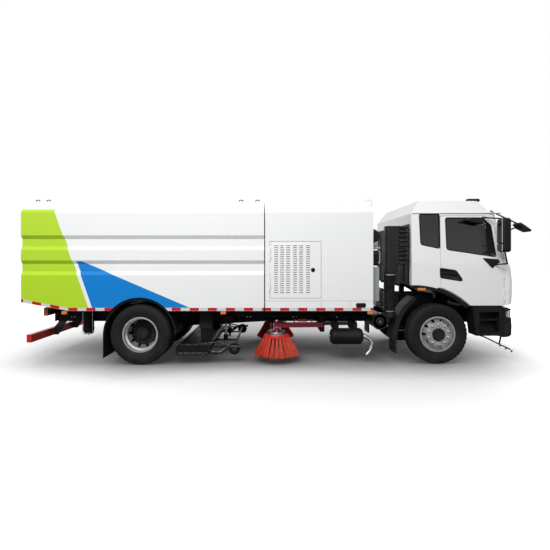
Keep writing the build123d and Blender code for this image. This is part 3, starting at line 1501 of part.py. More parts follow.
# Nozzle and ducts
def suction_nozzle():
    half = nozzle_half_width
    points = [(nozzle_rear, nozzle_bottom), (nozzle_front, nozzle_bottom), (nozzle_front, nozzle_top), (nozzle_rear, nozzle_top)]
    body = side_plate(points, -half, half, nozzle_corner)
    mouth = block(nozzle_rear + nozzle_wall * 2, nozzle_front - nozzle_wall * 2, -half + nozzle_wall, half - nozzle_wall,
                  nozzle_bottom - overrun, nozzle_top - nozzle_wall)
    body = body - mouth
    spigot = duct_opening(0, nozzle_top - nozzle_wall, spigot_top) - duct_opening(-spigot_wall, nozzle_bottom, spigot_top + overrun)
    body = body - duct_opening(-spigot_wall, nozzle_bottom - overrun, nozzle_top + overrun) + spigot
    wheel_low = nozzle_bottom - seat_gap + caster_radius
    arm_z = nozzle_top - nozzle_rib_height * 2
    for y in (caster_y, rail_outer_half):
        body += both(block(nozzle_front - nozzle_wall, caster_x, y - nozzle_rib_width, y + nozzle_rib_width, arm_z, arm_z + nozzle_rib_height))
    body += block(caster_x - nozzle_rib_width, caster_x + nozzle_rib_width, -caster_y, caster_y, arm_z, arm_z + nozzle_rib_height)
    wheel = rod((caster_x, caster_y - caster_half_width, wheel_low), (caster_x, caster_y + caster_half_width, wheel_low), caster_radius)
    body += both(wheel)
    sleeve_top = nozzle_top + sleeve_height / 2
    y = rail_outer_half - rail_flange / 2
    sleeve = rod((guide_x, y, sleeve_top - sleeve_height), (guide_x, y, sleeve_top), guide_radius + sleeve_wall)
    link = block(guide_x - nozzle_rib_width, guide_x + nozzle_rib_width, y, rail_outer_half + nozzle_rib_width, arm_z, arm_z + nozzle_rib_height)
    body += both(sleeve + link)
    bore = rod((guide_x, y, nozzle_bottom), (guide_x, y, spigot_top), guide_radius + pin_clearance)
    return body - both(bore)


def suction_ducts():
    top = subframe_top - knuckle_clearance
    shell = duct_opening(duct_gap + spigot_wall, duct_bottom, top) - duct_opening(duct_gap, duct_bottom - overrun, top + overrun)
    reach = duct_y - spigot_half_width - duct_gap - spigot_wall
    arm = both(block(duct_x - spigot_half_length, duct_x + spigot_half_length, rail_outer_half, reach, rail_bottom + rail_web, rail_bottom + bearer_height))
    y = rail_outer_half - rail_flange / 2
    post = both(rod((guide_x, y, guide_bottom), (guide_x, y, rail_bottom), guide_radius))
    return shell + arm, post


housing, nose_x = rear_axle_housing()
duct_shell, guide_posts = suction_ducts()

nodes = {
    "chassis_frame": chassis_frame_node(),
    "leaf_springs": leaf_springs(),
    "front_axle_beam": front_axle_beam(),
    "rear_axle_housing": housing,
    "propeller_shaft": propeller_shaft(nose_x),
    "engine_and_gearbox": engine_and_gearbox(),
    "radiator": radiator(),
    "fuel_tank": fuel_tank(),
    "air_reservoir": air_reservoir(),
    "air_intake": air_intake(),
    "front_bumper": front_bumper(),
    "headlamps": headlamps(),
    "cab_steps": cab_steps(),
    "front_mudguards": front_mudguards(),
    "rear_mudguards": rear_mudguards(),
    "rear_underrun_bar": underrun_bar(),
    "rear_lamps": rear_lamps(),
    "equipment_compartment": compartment(),
    "auxiliary_engine": auxiliary_engine(),
    "suction_ducts": duct_shell,
    "nozzle_guide_posts": guide_posts,
    "brush_brackets": brush_brackets(),
    "tie_rod": tie_rod(),
    "cab_shell": cab_shell(),
    "cab_glass": cab_glass(),
    "cab_arch_trims": cab_arch_trims(),
    "cab_grille": cab_grille(),
    "cab_seats": cab_seats(),
    "cab_dashboard": cab_dashboard(),
    "front_mirror": front_mirror(),
    "hopper_body": hopper(),
    "tailgate": tailgate(),
    "lift_barrel": lift_barrel(),
    "lift_rod": lift_rod(),
    "suction_nozzle": suction_nozzle(),
}
handed = {
    "steering_knuckle": steering_knuckle(),
    "front_tyre": tyre(wheelbase, front_track_half),
    "front_rim": front_rim(),
    "rear_tyres": tyre(0, rear_outer_half) + tyre(0, rear_inner_half),
    "rear_rims": rear_rims(),
    "cab_door": cab_door(),
    "door_glass": door_glass(),
    "compartment_door": compartment_door(),
    "brush_arm": brush_arm(),
    "brush": brush(),
    "door_mirror": door_mirror_left(),
}
for name, shape in handed.items():
    nodes[name + "_left"] = shape
    nodes[name + "_right"] = mirrored(shape)
nodes["door_mirror_right"] += mirrored(kerb_mirror())

middle_x = (front_reach - rear_reach) / 2
os.makedirs("parts", exist_ok=True)
for name, shape in nodes.items():
    export_step(Pos(-middle_x, 0, 0) * shape, f"parts/{name}.step")
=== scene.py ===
import math
import random
import bmesh
import bpy
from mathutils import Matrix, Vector
from mathutils.bvhtree import BVHTree


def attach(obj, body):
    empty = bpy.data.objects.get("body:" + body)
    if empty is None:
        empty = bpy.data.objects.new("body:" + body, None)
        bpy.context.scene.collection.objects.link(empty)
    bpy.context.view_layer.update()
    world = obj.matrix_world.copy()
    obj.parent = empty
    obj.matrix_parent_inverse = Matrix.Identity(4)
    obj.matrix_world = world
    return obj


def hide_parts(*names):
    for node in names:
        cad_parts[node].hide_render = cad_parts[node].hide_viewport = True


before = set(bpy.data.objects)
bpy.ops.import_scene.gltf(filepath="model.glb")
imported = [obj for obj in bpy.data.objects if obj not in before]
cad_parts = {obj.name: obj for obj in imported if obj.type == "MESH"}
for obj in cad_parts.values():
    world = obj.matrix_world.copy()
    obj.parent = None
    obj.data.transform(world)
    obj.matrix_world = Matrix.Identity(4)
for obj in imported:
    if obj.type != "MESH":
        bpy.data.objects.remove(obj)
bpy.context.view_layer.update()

# Chassis frame, axles and springs
# Pressed steel channel rails with riveted crossmembers, forged axles and leaf springs. All
# of it is sprayed with a thick chip-resistant black paint, which greys with road dust low down.


def tone(code):
    """Linear colour from an sRGB hex code."""
    shares = [int(code[n:n + 2], 16) / 255 for n in (0, 2, 4)]
    return (*(s / 12.92 if s <= 0.04045 else ((s + 0.055) / 1.055) ** 2.4 for s in shares), 1.0)


def outlet(value):
    """What a node gives: its first socket, or the third of a mix of colours."""
    if isinstance(value, bpy.types.Node):
        return value.outputs[2 if getattr(value, "data_type", "") == "RGBA" else 0]
    return value


def add(tree, kind, feeds=None, **settings):
    """Adds one node with its settings, and gives its inputs values or other nodes.

    A MapRange takes its value at 0, the old range at 1 and 2 and the new one at 3 and 4. A Mix
    of colours takes its share at 0 and the colours at 6 and 7.
    """
    made = tree.nodes.new("ShaderNode" + kind)
    for name, value in settings.items():
        setattr(made, name, value)
    for name, value in (feeds or {}).items():
        value = outlet(value)
        if isinstance(value, bpy.types.NodeSocket):
            tree.links.new(value, made.inputs[name])
        else:
            made.inputs[name].default_value = value
    return made


def fresh(name, **sockets):
    """A new material: its tree, its shader with these sockets set, and the place on the object."""
    made = bpy.data.materials.new(name)
    made.use_nodes = True
    tree = made.node_tree
    shader = tree.nodes["Principled BSDF"]
    for socket, value in sockets.items():
        shader.inputs[socket.replace("_", " ")].default_value = value
    return made, tree, shader, add(tree, "TexCoord").outputs["Object"]


def dress(tree, shader, colour, rough, relief):
    """Links colour, roughness and relief to the shader.

    rough is a pattern with the roughness of its low and high parts, and perhaps where they
    start. relief is a pattern with its strength and its depth in millimetres.
    """
    pattern, low, high, *span = rough
    start, end = span or (0.3, 0.7)
    roughness = add(tree, "MapRange", {0: pattern, 1: start, 2: end, 3: low, 4: high})
    height, strength, deep = relief
    bump = add(tree, "Bump", {"Height": height, "Strength": strength, "Distance": deep / 1000})
    for socket, value in (("Base Color", colour), ("Roughness", roughness), ("Normal", bump)):
        tree.links.new(outlet(value), shader.inputs[socket])


def grains(mm):
    """Noise scale, for metres, whose grains are this many millimetres across."""
    return 1000.0 / mm


def road_film(tree, place, under, reach, amount):
    """Thin road dust over a colour: most at the ground, none at the height reach, in clouds."""
    z = add(tree, "SeparateXYZ", {0: place}).outputs["Z"]
    low = add(tree, "MapRange", {0: z, 1: reach, 2: 0.0, 3: 0.0, 4: amount})
    # Clouds of dust are some 300 mm across.
    cloud = add(tree, "TexNoise",
                {"Vector": place, "Scale": grains(300), "Detail": 6.0, "Roughness": 0.65})
    patch = add(tree, "MapRange", {0: cloud, 1: 0.35, 2: 0.75})
    share = add(tree, "Math", {0: low, 1: patch}, operation="MULTIPLY")
    return add(tree, "Mix", {0: share, 6: under, 7: tone("8f877b")}, data_type="RGBA")


def chip_paint(name, code, film):
    """Chip-resistant paint: satin, with the coarse orange peel of a thick sprayed coat."""
    made, tree, shader, place = fresh(name, Specular_IOR_Level=0.12)
    cloud = add(tree, "TexNoise", {"Vector": place, "Scale": grains(160), "Detail": 4.0})
    pale = [c * 2.0 + 0.002 for c in tone(code)]
    faded = add(tree, "Mix", {0: cloud, 6: tone(code), 7: pale}, data_type="RGBA")
    colour = road_film(tree, place, faded, 1.2, film)
    # Real peel is 1 mm across, drawn at 5 mm so that it shows.
    peel = add(tree, "TexNoise", {"Vector": place, "Scale": grains(5), "Detail": 2.0})
    dress(tree, shader, colour, (cloud, 0.38, 0.6), (peel, 0.2, 0.6))
    return made


def sand_cast_iron():
    """Cast iron: dull and dark with the grain of the sand mould, 1 mm, drawn at 6 mm."""
    made, tree, shader, place = fresh("sand_cast_iron", Metallic=0.6)
    grain = add(tree, "TexNoise",
                {"Vector": place, "Scale": grains(6), "Detail": 5.0, "Roughness": 0.7})
    colour = add(tree, "Mix", {0: grain, 6: tone("161617"), 7: tone("3c3d40")}, data_type="RGBA")
    dusty = road_film(tree, place, colour, 1.2, 0.18)
    dress(tree, shader, dusty, (grain, 0.5, 0.75), (grain, 0.5, 1.2))
    return made


def drawn_steel():
    """Zinc-plated steel for bolts, pins and rods: bright, with fine lines left by drawing."""
    made, tree, shader, place = fresh("zinc_plated_steel", Metallic=1.0)
    along = add(tree, "Mapping", {"Vector": place, "Scale": (1.0, 1.0, 8.0)})
    # Tool lines are 0.2 mm apart, drawn at 9 mm.
    lines = add(tree, "TexNoise", {"Vector": along, "Scale": grains(9), "Detail": 3.0})
    colour = add(tree, "Mix", {0: lines, 6: tone("8d9094"), 7: tone("dfe1e3")}, data_type="RGBA")
    dusty = road_film(tree, place, colour, 0.9, 0.2)
    dress(tree, shader, dusty, (lines, 0.22, 0.4), (lines, 0.1, 0.3))
    return made


def finish(material, *names):
    """Gives whole solids of the frame their material. A name ending in * takes both sides."""
    for name in names:
        for side in ("_left", "_right") if name.endswith("*") else ("",):
            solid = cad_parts[name.rstrip("*") + side]
            solid.data.materials.clear()
            solid.data.materials.append(material)


SHARP_EDGE = math.radians(38)


def build(name, groups, material, body, smooth=False):
    """One object made of groups of points and faces, riding on a body."""
    points = []
    faces = []
    for some_points, some_faces in groups:
        first = len(points)
        points += some_points
        faces += [tuple(first + n for n in face) for face in some_faces]
    mesh = bpy.data.meshes.new(name)
    mesh.from_pydata([tuple(p) for p in points], [], faces)
    outward = bmesh.new()
    outward.from_mesh(mesh)
    bmesh.ops.recalc_face_normals(outward, faces=outward.faces)
    outward.to_mesh(mesh)
    outward.free()
    if smooth:
        mesh.shade_smooth()
        mesh.set_sharp_from_angle(angle=SHARP_EDGE)
    mesh.materials.append(material)
    made = bpy.data.objects.new(name, mesh)
    bpy.context.scene.collection.objects.link(made)
    if body:
        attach(made, body)
    return made


def lofted(rings, ends="capped"):
    """Rings of points joined one to the next, their ends capped, open, or joined to each other."""
    n, count = len(rings[0]), len(rings)
    faces = []
    for r in range(count if ends == "joined" else count - 1):
        here, there = r * n, (r + 1) % count * n
        faces += [(here + k, here + (k + 1) % n, there + (k + 1) % n, there + k) for k in range(n)]
    if ends == "capped":
        faces += [tuple(range(n)), tuple(range((count - 1) * n, count * n))]
    return [p for ring in rings for p in ring], faces


def turned(profile, centre, axis, steps, wave=None):
    """A closed profile of (radius, along) points turned round an axis through centre."""
    rings = []
    for s in range(steps):
        turn = 2 * math.pi * s / steps
        ring = []
        for n, (r, along) in enumerate(profile):
            r = r - (wave(s, n) if wave else 0.0)
            a, b = r * math.cos(turn), r * math.sin(turn)
            offset = {"X": (along, a, b), "Y": (b, along, a), "Z": (a, b, along)}[axis]
            ring.append(Vector(centre) + Vector(offset))
        rings.append(ring)
    return lofted(rings, "joined")


# Turned solids keep a hole this small round their axis.
CORE = 0.001


def bolt_head(centre, axis, way, radius=0.012, length=0.012):
    """A hexagon head with a chamfered end, standing the given way along the axis."""
    core = radius * 0.05
    profile = ((core, 0.0), (radius, 0.0), (radius, length * 0.8), (radius * 0.84, length),
               (core, length))
    return turned([(r, way * a) for r, a in profile], centre, axis, 6)


CHASSIS_BLACK = chip_paint("chassis_chip_paint", "0b0c0d", 0.09)
CAST_IRON = sand_cast_iron()
STEEL = drawn_steel()
finish(CHASSIS_BLACK, "chassis_frame", "leaf_springs", "front_axle_beam", "propeller_shaft",
       "brush_brackets", "tie_rod", "lift_barrel")
finish(CAST_IRON, "rear_axle_housing", "engine_and_gearbox", "auxiliary_engine",
       "steering_knuckle*")
finish(STEEL, "lift_rod", "nozzle_guide_posts")
RAIL_FACE = 0.425
BOLT_PLACES = (-3.80, -2.95, -1.65, -0.55, 0.30, 1.05, 1.60, 3.05)
frame_bolts = [bolt_head((x + dx, side * RAIL_FACE, z), "Y", side)
               for side in (1, -1) for x in BOLT_PLACES for dx in (0.0, 0.06) for z in (0.70, 0.82)]
build("frame_bolts", frame_bolts, STEEL, "chassis")

# Tyres
# Radial truck tyres: black rubber vulcanised in a steel mould, with rings on the sidewall,
# grooved ribs and notched shoulders on the tread. Twin tyres sit on one pair of rims.
HUB_Z = 0.505
FRONT_X = 2.699
REAR_X = -2.301
SIDES = (("left", 1), ("right", -1))
# Radius and half width of the section, from the bead to the middle of the tread.
TYRE_HALF = (
    (0.298, 0.106), (0.312, 0.118), (0.330, 0.126), (0.334, 0.130), (0.338, 0.127),
    (0.372, 0.134), (0.401, 0.1365), (0.425, 0.134), (0.429, 0.137), (0.433, 0.133),
    (0.462, 0.126), (0.488, 0.116), (0.499, 0.108), (0.505, 0.098), (0.505, 0.066),
    (0.492, 0.063), (0.492, 0.057), (0.505, 0.054), (0.505, 0.026), (0.492, 0.023),
    (0.492, 0.017), (0.505, 0.014),
)
TYRE_SECTION = [(r, -w) for r, w in TYRE_HALF] + [(r, w) for r, w in reversed(TYRE_HALF)]
TYRE_STEPS = 168
SHOULDER_POINTS, MIDDLE_RIB_POINTS = (11, 12, 13), (17, 18)
NOTCH_DEPTH, SIPE_DEPTH = 0.011, 0.006


def tread_cuts(s, n):
    """Notches in the shoulder and fine sipes across the middle rib."""
    n = min(n, len(TYRE_SECTION) - 1 - n)
    if n in SHOULDER_POINTS and s % 4 == 0:
        return NOTCH_DEPTH
    return SIPE_DEPTH if n in MIDDLE_RIB_POINTS and (s + 2) % 6 == 0 else 0.0


def vulcanised_rubber(name, code, film):
    """Tyre rubber: near black, dull, dust in clouds, and a grain of 0.5 mm drawn at 3 mm."""
    made, tree, shader, place = fresh(name, Specular_IOR_Level=0.14)
    cloud = add(tree, "TexNoise",
                {"Vector": place, "Scale": grains(110), "Detail": 6.0, "Roughness": 0.7})
    bloom = add(tree, "Mix", {0: cloud, 6: tone(code), 7: tone("222223")}, data_type="RGBA")
    grain = add(tree, "TexNoise", {"Vector": place, "Scale": grains(3), "Detail": 3.0})
    dusty = road_film(tree, place, bloom, 1.1, film)
    dress(tree, shader, dusty, (cloud, 0.52, 0.75), (grain, 0.3, 0.7))
    return made


TYRE_RUBBER = vulcanised_rubber("vulcanised_tyre_rubber", "0d0d0e", 0.08)
WHEELS = (("front_tyre", "front_wheel", FRONT_X, (1.018,)),
          ("rear_tyres", "rear_wheels", REAR_X, (1.077, 0.771)))
for word, side in SIDES:
    for part, body, x, places in WHEELS:
        tyres = [turned(TYRE_SECTION, (x, y * side, HUB_Z), "Y", TYRE_STEPS, tread_cuts)
                 for y in places]
        made = build(f"{part}_tread_{word}", tyres, TYRE_RUBBER, f"{body}_{word}")
        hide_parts(f"{part}_{word}")

# Rims and wheel nuts
# Rolled and welded steel disc wheels in silver enamel, hung on ten studs. The hubs and drums
# inside are bare castings. The rims are painted dark at the hub, for brake dust and painted shade,
# deepest on the rear wheels' dish, and all behind the disc's face is painted shade.
DISC_FLAT, DISC_ROOT, BEHIND_DISC = 0.196, 0.259, 0.022
NUT_RING, NUTS = 0.1675, 10
FRONT_FACE, REAR_FACE = 1.171, 0.938


def wheel_enamel(name, hub_x, dust_and_shade_radius, face_y, root_y):
    """Silver enamel with metal flake. Hub and dish are dark with brake dust and painted shade, and all
    behind the disc's face is painted shade.
    """
    made, tree, shader, place = fresh(name, Metallic=0.75)
    away = add(tree, "VectorMath", {0: place, 1: (hub_x, 0.0, HUB_Z)}, operation="SUBTRACT")
    flat = add(tree, "VectorMath", {0: away, 1: (1.0, 0.0, 1.0)}, operation="MULTIPLY")
    radius = add(tree, "VectorMath", {0: flat}, operation="LENGTH").outputs["Value"]
    cloud = add(tree, "TexNoise", {"Vector": place, "Scale": grains(45), "Detail": 5.0})
    wavy = add(tree, "Math", {0: cloud, 1: 0.02, 2: radius}, operation="MULTIPLY_ADD")
    past_hub = add(tree, "MapRange", {0: wavy, 1: dust_and_shade_radius, 2: dust_and_shade_radius + 0.015})
    y = add(tree, "SeparateXYZ", {0: place}).outputs["Y"]
    out = add(tree, "Math", {0: y}, operation="ABSOLUTE")
    disc = add(tree, "MapRange", {0: radius, 1: DISC_FLAT, 2: DISC_ROOT,
                                  3: face_y - BEHIND_DISC, 4: root_y - BEHIND_DISC})
    front = add(tree, "Math", {0: out, 1: disc}, operation="GREATER_THAN")
    flange = add(tree, "MapRange", {0: radius, 1: 0.268, 2: 0.278})
    unshaded_face = add(tree, "Math", {0: front, 1: flange}, operation="MAXIMUM")
    outer = add(tree, "Math", {0: past_hub, 1: unshaded_face}, operation="MULTIPLY")
    silver = add(tree, "Mix", {0: cloud, 6: tone("a9acae"), 7: tone("e2e4e5")}, data_type="RGBA")
    # Dark inside the hub radius and behind the disc's face: painted shade, with brake dust on the hub.
    colour = add(tree, "Mix", {0: outer, 6: tone("1c1a19"), 7: silver}, data_type="RGBA")
    # Flakes are 0.05 mm, drawn at 3 mm.
    flake = add(tree, "TexNoise", {"Vector": place, "Scale": grains(3), "Detail": 1.0})
    dusty = road_film(tree, place, colour, 0.8, 0.2)
    dress(tree, shader, dusty, (outer, 0.65, 0.3, 0.0, 1.0), (flake, 0.12, 0.3))
    return made


def wheel_nut(centre, way):
    """A hexagon nut with its washer and the end of its stud."""
    profile = ((CORE, 0.0), (0.021, 0.0), (0.021, 0.004), (0.0165, 0.005), (0.0165, 0.021),
               (0.0135, 0.025), (0.0095, 0.025), (0.0095, 0.036), (0.007, 0.038), (CORE, 0.038))
    return turned([(r, way * a) for r, a in profile], centre, "Y", 6)


finish(wheel_enamel("front_wheel_enamel", FRONT_X, 0.112, FRONT_FACE, 1.0565), "front_rim*")
finish(wheel_enamel("rear_wheel_enamel", REAR_X, 0.215, REAR_FACE, 1.0665), "rear_rims*")
for word, side in SIDES:
    for label, body, x, face, material in (("front", "front_wheel", FRONT_X, FRONT_FACE, STEEL),
                                           ("rear", "rear_wheels", REAR_X, REAR_FACE, CAST_IRON)):
        nuts = []
        for k in range(NUTS):
            turn = math.pi * (2 * k + 1) / NUTS
            across, up = NUT_RING * math.cos(turn), NUT_RING * math.sin(turn)
            nuts.append(wheel_nut((x + across, face * side, HUB_Z + up), side))
        build(f"{label}_wheel_nuts_{word}", nuts, material, f"{body}_{word}")

# Tanks and pipes under the frame
# Pressed aluminium fuel tank on straps, black air reservoir with plated end ports, a filter
# canister behind the rear wheel, and a plated outlet elbow ahead of the reservoir.


def pressed_aluminium():
    """Bare aluminium sheet: bright, with rolling lines 0.1 mm apart, drawn at 12 mm."""
    made, tree, shader, place = fresh("pressed_aluminium", Metallic=1.0)
    along = add(tree, "Mapping", {"Vector": place, "Scale": (0.08, 1.0, 1.0)})
    lines = add(tree, "TexNoise", {"Vector": along, "Scale": grains(12), "Detail": 4.0})
    colour = add(tree, "Mix", {0: lines, 6: tone("9ea1a4"), 7: tone("dcdedf")}, data_type="RGBA")
    dusty = road_film(tree, place, colour, 1.0, 0.2)
    dress(tree, shader, dusty, (lines, 0.25, 0.42), (lines, 0.1, 0.3))
    return made


def moulded_black(name, code="0d0e0f", film=0.1, rough=(0.4, 0.6)):
    """Moulded polypropylene: satin, with a leather grain of 1 mm drawn at 3 mm."""
    made, tree, shader, place = fresh(name, Specular_IOR_Level=0.18)
    cloud = add(tree, "TexNoise", {"Vector": place, "Scale": grains(200), "Detail": 5.0})
    pale = [c * 1.7 + 0.002 for c in tone(code)]
    faded = add(tree, "Mix", {0: cloud, 6: tone(code), 7: pale}, data_type="RGBA")
    grain = add(tree, "TexVoronoi", {"Vector": place, "Scale": grains(3)}, feature="SMOOTH_F1")
    dusty = road_film(tree, place, faded, 1.2, film)
    dress(tree, shader, dusty, (cloud, *rough), (grain, 0.25, 0.5))
    return made


def block(low, high, edge=0.004):
    """A box with rounded edges between two corners, given in any order."""
    low, high = [Vector(map(choose, low, high)) for choose in (min, max)]
    made = bmesh.new()
    bmesh.ops.create_cube(made, size=1.0)
    for v in made.verts:
        v.co = Vector(l + (h - l) * (c + 0.5) for l, h, c in zip(low, high, v.co))
    edge = min(edge, min(high - low) * 0.45)
    bmesh.ops.bevel(made, geom=made.edges[:], offset=edge, segments=2, affect="EDGES", profile=0.6)
    made.verts.index_update()
    group = [v.co.copy() for v in made.verts], [tuple(v.index for v in f.verts) for f in made.faces]
    made.free()
    return group


def bar(path, radius, steps=10, closed=False, flat=1.0):
    """A round bar along a path of points, or a strip where flat is under 1."""
    path = [Vector(p) for p in path]
    count = len(path)
    side = None
    rings = []
    for n, p in enumerate(path):
        ahead = path[(n + 1) % count] if closed or n < count - 1 else p
        behind = path[n - 1] if closed or n else p
        way = (ahead - behind).normalized()
        if side is None:
            side = way.orthogonal() if abs(way.y) > 0.9 else way.cross(Vector((0.0, 1.0, 0.0)))
        side = (side - way * side.dot(way)).normalized()
        up = way.cross(side)
        turns = [2 * math.pi * k / steps for k in range(steps)]
        rings.append([p + (side * math.cos(t) + up * math.sin(t) * flat) * radius for t in turns])
    return lofted(rings, "joined" if closed else "capped")


def rounded(corners, radius, steps=6, closed=True):
    """The points of an outline or route, with every corner turned into an arc."""
    path = []
    corners = [Vector(c) for c in corners]
    for n, here in enumerate(corners):
        if not closed and n in (0, len(corners) - 1):
            path.append(here)
            continue
        back = (corners[n - 1] - here).normalized() * radius
        on = (corners[(n + 1) % len(corners)] - here).normalized() * radius
        for k in range(steps + 1):
            t = k / steps
            path.append((here + back) * (1 - t) ** 2 + here * 2 * t * (1 - t) + (here + on) * t**2)
    return path


def hoop(radii, along, centre, axis, steps):
    """A ring of square section between two radii and two places along its axis."""
    (r, s), (a, b) = radii, along
    return turned(((r, a), (s, a), (s, b), (r, b)), centre, axis, steps)


def window(x0, z0, x1, z1):
    """The corners of an upright rectangle."""
    return (x0, z0), (x1, z0), (x1, z1), (x0, z1)


MOULDED_BLACK = moulded_black("moulded_polypropylene")
ALUMINIUM = pressed_aluminium()
finish(ALUMINIUM, "fuel_tank", "radiator")
finish(CHASSIS_BLACK, "air_reservoir")
TANK_ENDS, TANK_Y, TANK_Z, TANK_R = (0.904, 1.464), -0.985, 0.447, 0.138
BAND_PLACES = (TANK_ENDS[0] + 0.11, TANK_ENDS[1] - 0.11)
bands = [hoop((TANK_R, TANK_R + 0.005), (-0.02, 0.02), (x, TANK_Y, TANK_Z), "X", 48)
         for x in BAND_PLACES]
bands += [bolt_head((x, TANK_Y - 0.08, TANK_Z - TANK_R * 0.85), "Z", -1) for x in BAND_PLACES]
build("reservoir_bands", bands, CHASSIS_BLACK, "chassis", smooth=True)
PORT = ((CORE, 0.0), (0.030, 0.0), (0.030, 0.006), (0.022, 0.009), (0.022, 0.020),
        (0.016, 0.024), (CORE, 0.024))
ports = [turned([(r, way * a) for r, a in PORT], (x, TANK_Y, TANK_Z), "X", 24)
         for x, way in zip(TANK_ENDS, (-1, 1))]
ports += [turned([(r * 0.6, -a) for r, a in PORT], (x, TANK_Y, TANK_Z - TANK_R), "Z", 16)
          for x in (1.05, 1.32)]
build("reservoir_ports", ports, STEEL, "chassis", smooth=True)
elbow = rounded(((1.470, -0.985, 0.447), (1.580, -0.990, 0.405), (1.628, -0.995, 0.320),
                 (1.600, -1.0, 0.215), (1.530, -1.0, 0.130)), 0.05, closed=False)
collar = hoop((0.036, 0.044), (-0.015, 0.015), (1.495, -0.986, 0.440), "X", 24)
build("outlet_elbow", [bar(elbow, 0.034, 20), collar], ALUMINIUM, "chassis", smooth=True)
CAN_X, CAN_Y = -3.436, -0.545
can = ((CORE, 0.43), (0.070, 0.43), (0.088, 0.45), (0.092, 0.48), (0.092, 0.80),
       (0.086, 0.83), (0.060, 0.845), (CORE, 0.845))
canister = [turned(can, (CAN_X, CAN_Y, 0.0), "Z", 40)]
build("filter_canister", canister, CHASSIS_BLACK, "chassis", smooth=True)
straps = [hoop((0.092, 0.097), (z, z + 0.03), (CAN_X, CAN_Y, 0.0), "Z", 40) for z in (0.50, 0.74)]
straps += [block((CAN_X - 0.05, CAN_Y + 0.07, z), (CAN_X + 0.05, -RAIL_FACE, z + 0.03))
           for z in (0.70, 0.78)]
build("canister_straps", straps, CHASSIS_BLACK, "chassis", smooth=True)
clips = [bar(((CAN_X + dx, CAN_Y - 0.050, 0.44), (CAN_X + dx, CAN_Y - 0.050, 0.84)), 0.007, 8)
         for dx in (-0.088, 0.088)]
clips += [block((CAN_X - 0.07, CAN_Y - 0.07, 0.412), (CAN_X + 0.07, CAN_Y + 0.05, 0.430)),
          bolt_head((CAN_X, CAN_Y, 0.412), "Z", -1, 0.02, 0.02)]
build("canister_clips", clips, ALUMINIUM, "chassis", smooth=True)
cap = ((CORE, 0.0), (0.050, 0.0), (0.050, 0.020), (0.056, 0.024), (0.056, 0.040),
       (0.048, 0.048), (CORE, 0.048))
filler = [turned(cap, (1.05, 0.90, 0.838), "Z", 32)]
build("fuel_cap", filler, MOULDED_BLACK, "chassis", smooth=True)

# Underrun bar, rear lamps and mudguards
# A folded steel bar in red enamel, lamp units moulded from ribbed acrylic, red with amber
# ends, and polypropylene mudguards with rubber flaps.
BAR_BACK_X = -4.143


def stoved_enamel(name, code, film=0.12, black_from=None):
    """Coloured enamel on steel: even and glossy, with an orange peel of 2 mm drawn at 6 mm.

    Ahead of black_from the brackets are painted with the chassis, in black.
    """
    made, tree, shader, place = fresh(name, Coat_Weight=0.4, Coat_Roughness=0.12)
    cloud = add(tree, "TexNoise", {"Vector": place, "Scale": grains(250), "Detail": 4.0})
    shade = [c * 0.82 for c in tone(code)[:3]] + [1.0]
    colour = add(tree, "Mix", {0: cloud, 6: shade, 7: tone(code)}, data_type="RGBA")
    if black_from:
        x = add(tree, "SeparateXYZ", {0: place}).outputs["X"]
        ahead = add(tree, "Math", {0: x, 1: black_from}, operation="GREATER_THAN")
        colour = add(tree, "Mix", {0: ahead, 6: colour, 7: tone("121213")}, data_type="RGBA")
    peel = add(tree, "TexNoise", {"Vector": place, "Scale": grains(6), "Detail": 2.0})
    dusty = road_film(tree, place, colour, 0.9, film)
    dress(tree, shader, dusty, (cloud, 0.24, 0.38), (peel, 0.08, 0.4))
    return made


def ribbed_acrylic(name, inner, outer, change, bands="Z"):
    """A lamp lens: clear glossy acrylic, ribbed inside, that changes colour at a width."""
    made, tree, shader, place = fresh(name, Coat_Weight=0.8, Coat_Roughness=0.05)
    # A wave's bands repeat every 0.314 m over its scale, so ribs 8 mm apart take 40.
    ribs = add(tree, "TexWave", {"Vector": place, "Scale": 40.0}, bands_direction=bands)
    y = add(tree, "SeparateXYZ", {0: place}).outputs["Y"]
    out = add(tree, "Math", {0: y}, operation="ABSOLUTE")
    past = add(tree, "Math", {0: out, 1: change}, operation="GREATER_THAN")
    hue = add(tree, "Mix", {0: past, 6: tone(inner), 7: tone(outer)}, data_type="RGBA")
    dim = add(tree, "MapRange", {0: ribs, 1: 0.0, 2: 1.0, 3: 0.35, 4: 0.0})
    colour = add(tree, "Mix", {0: dim, 6: hue, 7: tone("1a0f0c")}, data_type="RGBA")
    dress(tree, shader, colour, (ribs, 0.1, 0.2, 0.0, 1.0), (ribs, 0.25, 0.8))
    return made


finish(stoved_enamel("red_bar_enamel", "d01f20", black_from=BAR_BACK_X), "rear_underrun_bar")
finish(ribbed_acrylic("rear_lamp_acrylic", "b3141c", "e8842a", 0.90), "rear_lamps")
finish(MOULDED_BLACK, "front_mudguards", "rear_mudguards")
LAMP_FRAME = ((0.552, 1.004, 0.798, 0.806), (0.552, 1.004, 0.926, 0.934), (0.552, 0.560, 0.798, 0.934))
frames = []
for side in (1, -1):
    frames += [block((-4.020, y0 * side, z0), (-3.951, y1 * side, z1))
               for y0, y1, z0, z1 in LAMP_FRAME]
    frames += [block((-4.021, (y - 0.004) * side, 0.808), (-4.010, (y + 0.004) * side, 0.924))
               for y in (0.70, 0.90)]
build("lamp_frames", frames, MOULDED_BLACK, "chassis")

# Suction nozzle and ducts
# A welded steel box that rides on four rubber-tyred casters close to the road. Wear plates
# are bolted to its ends, and short rubber ducts lead up into the hopper's floor.


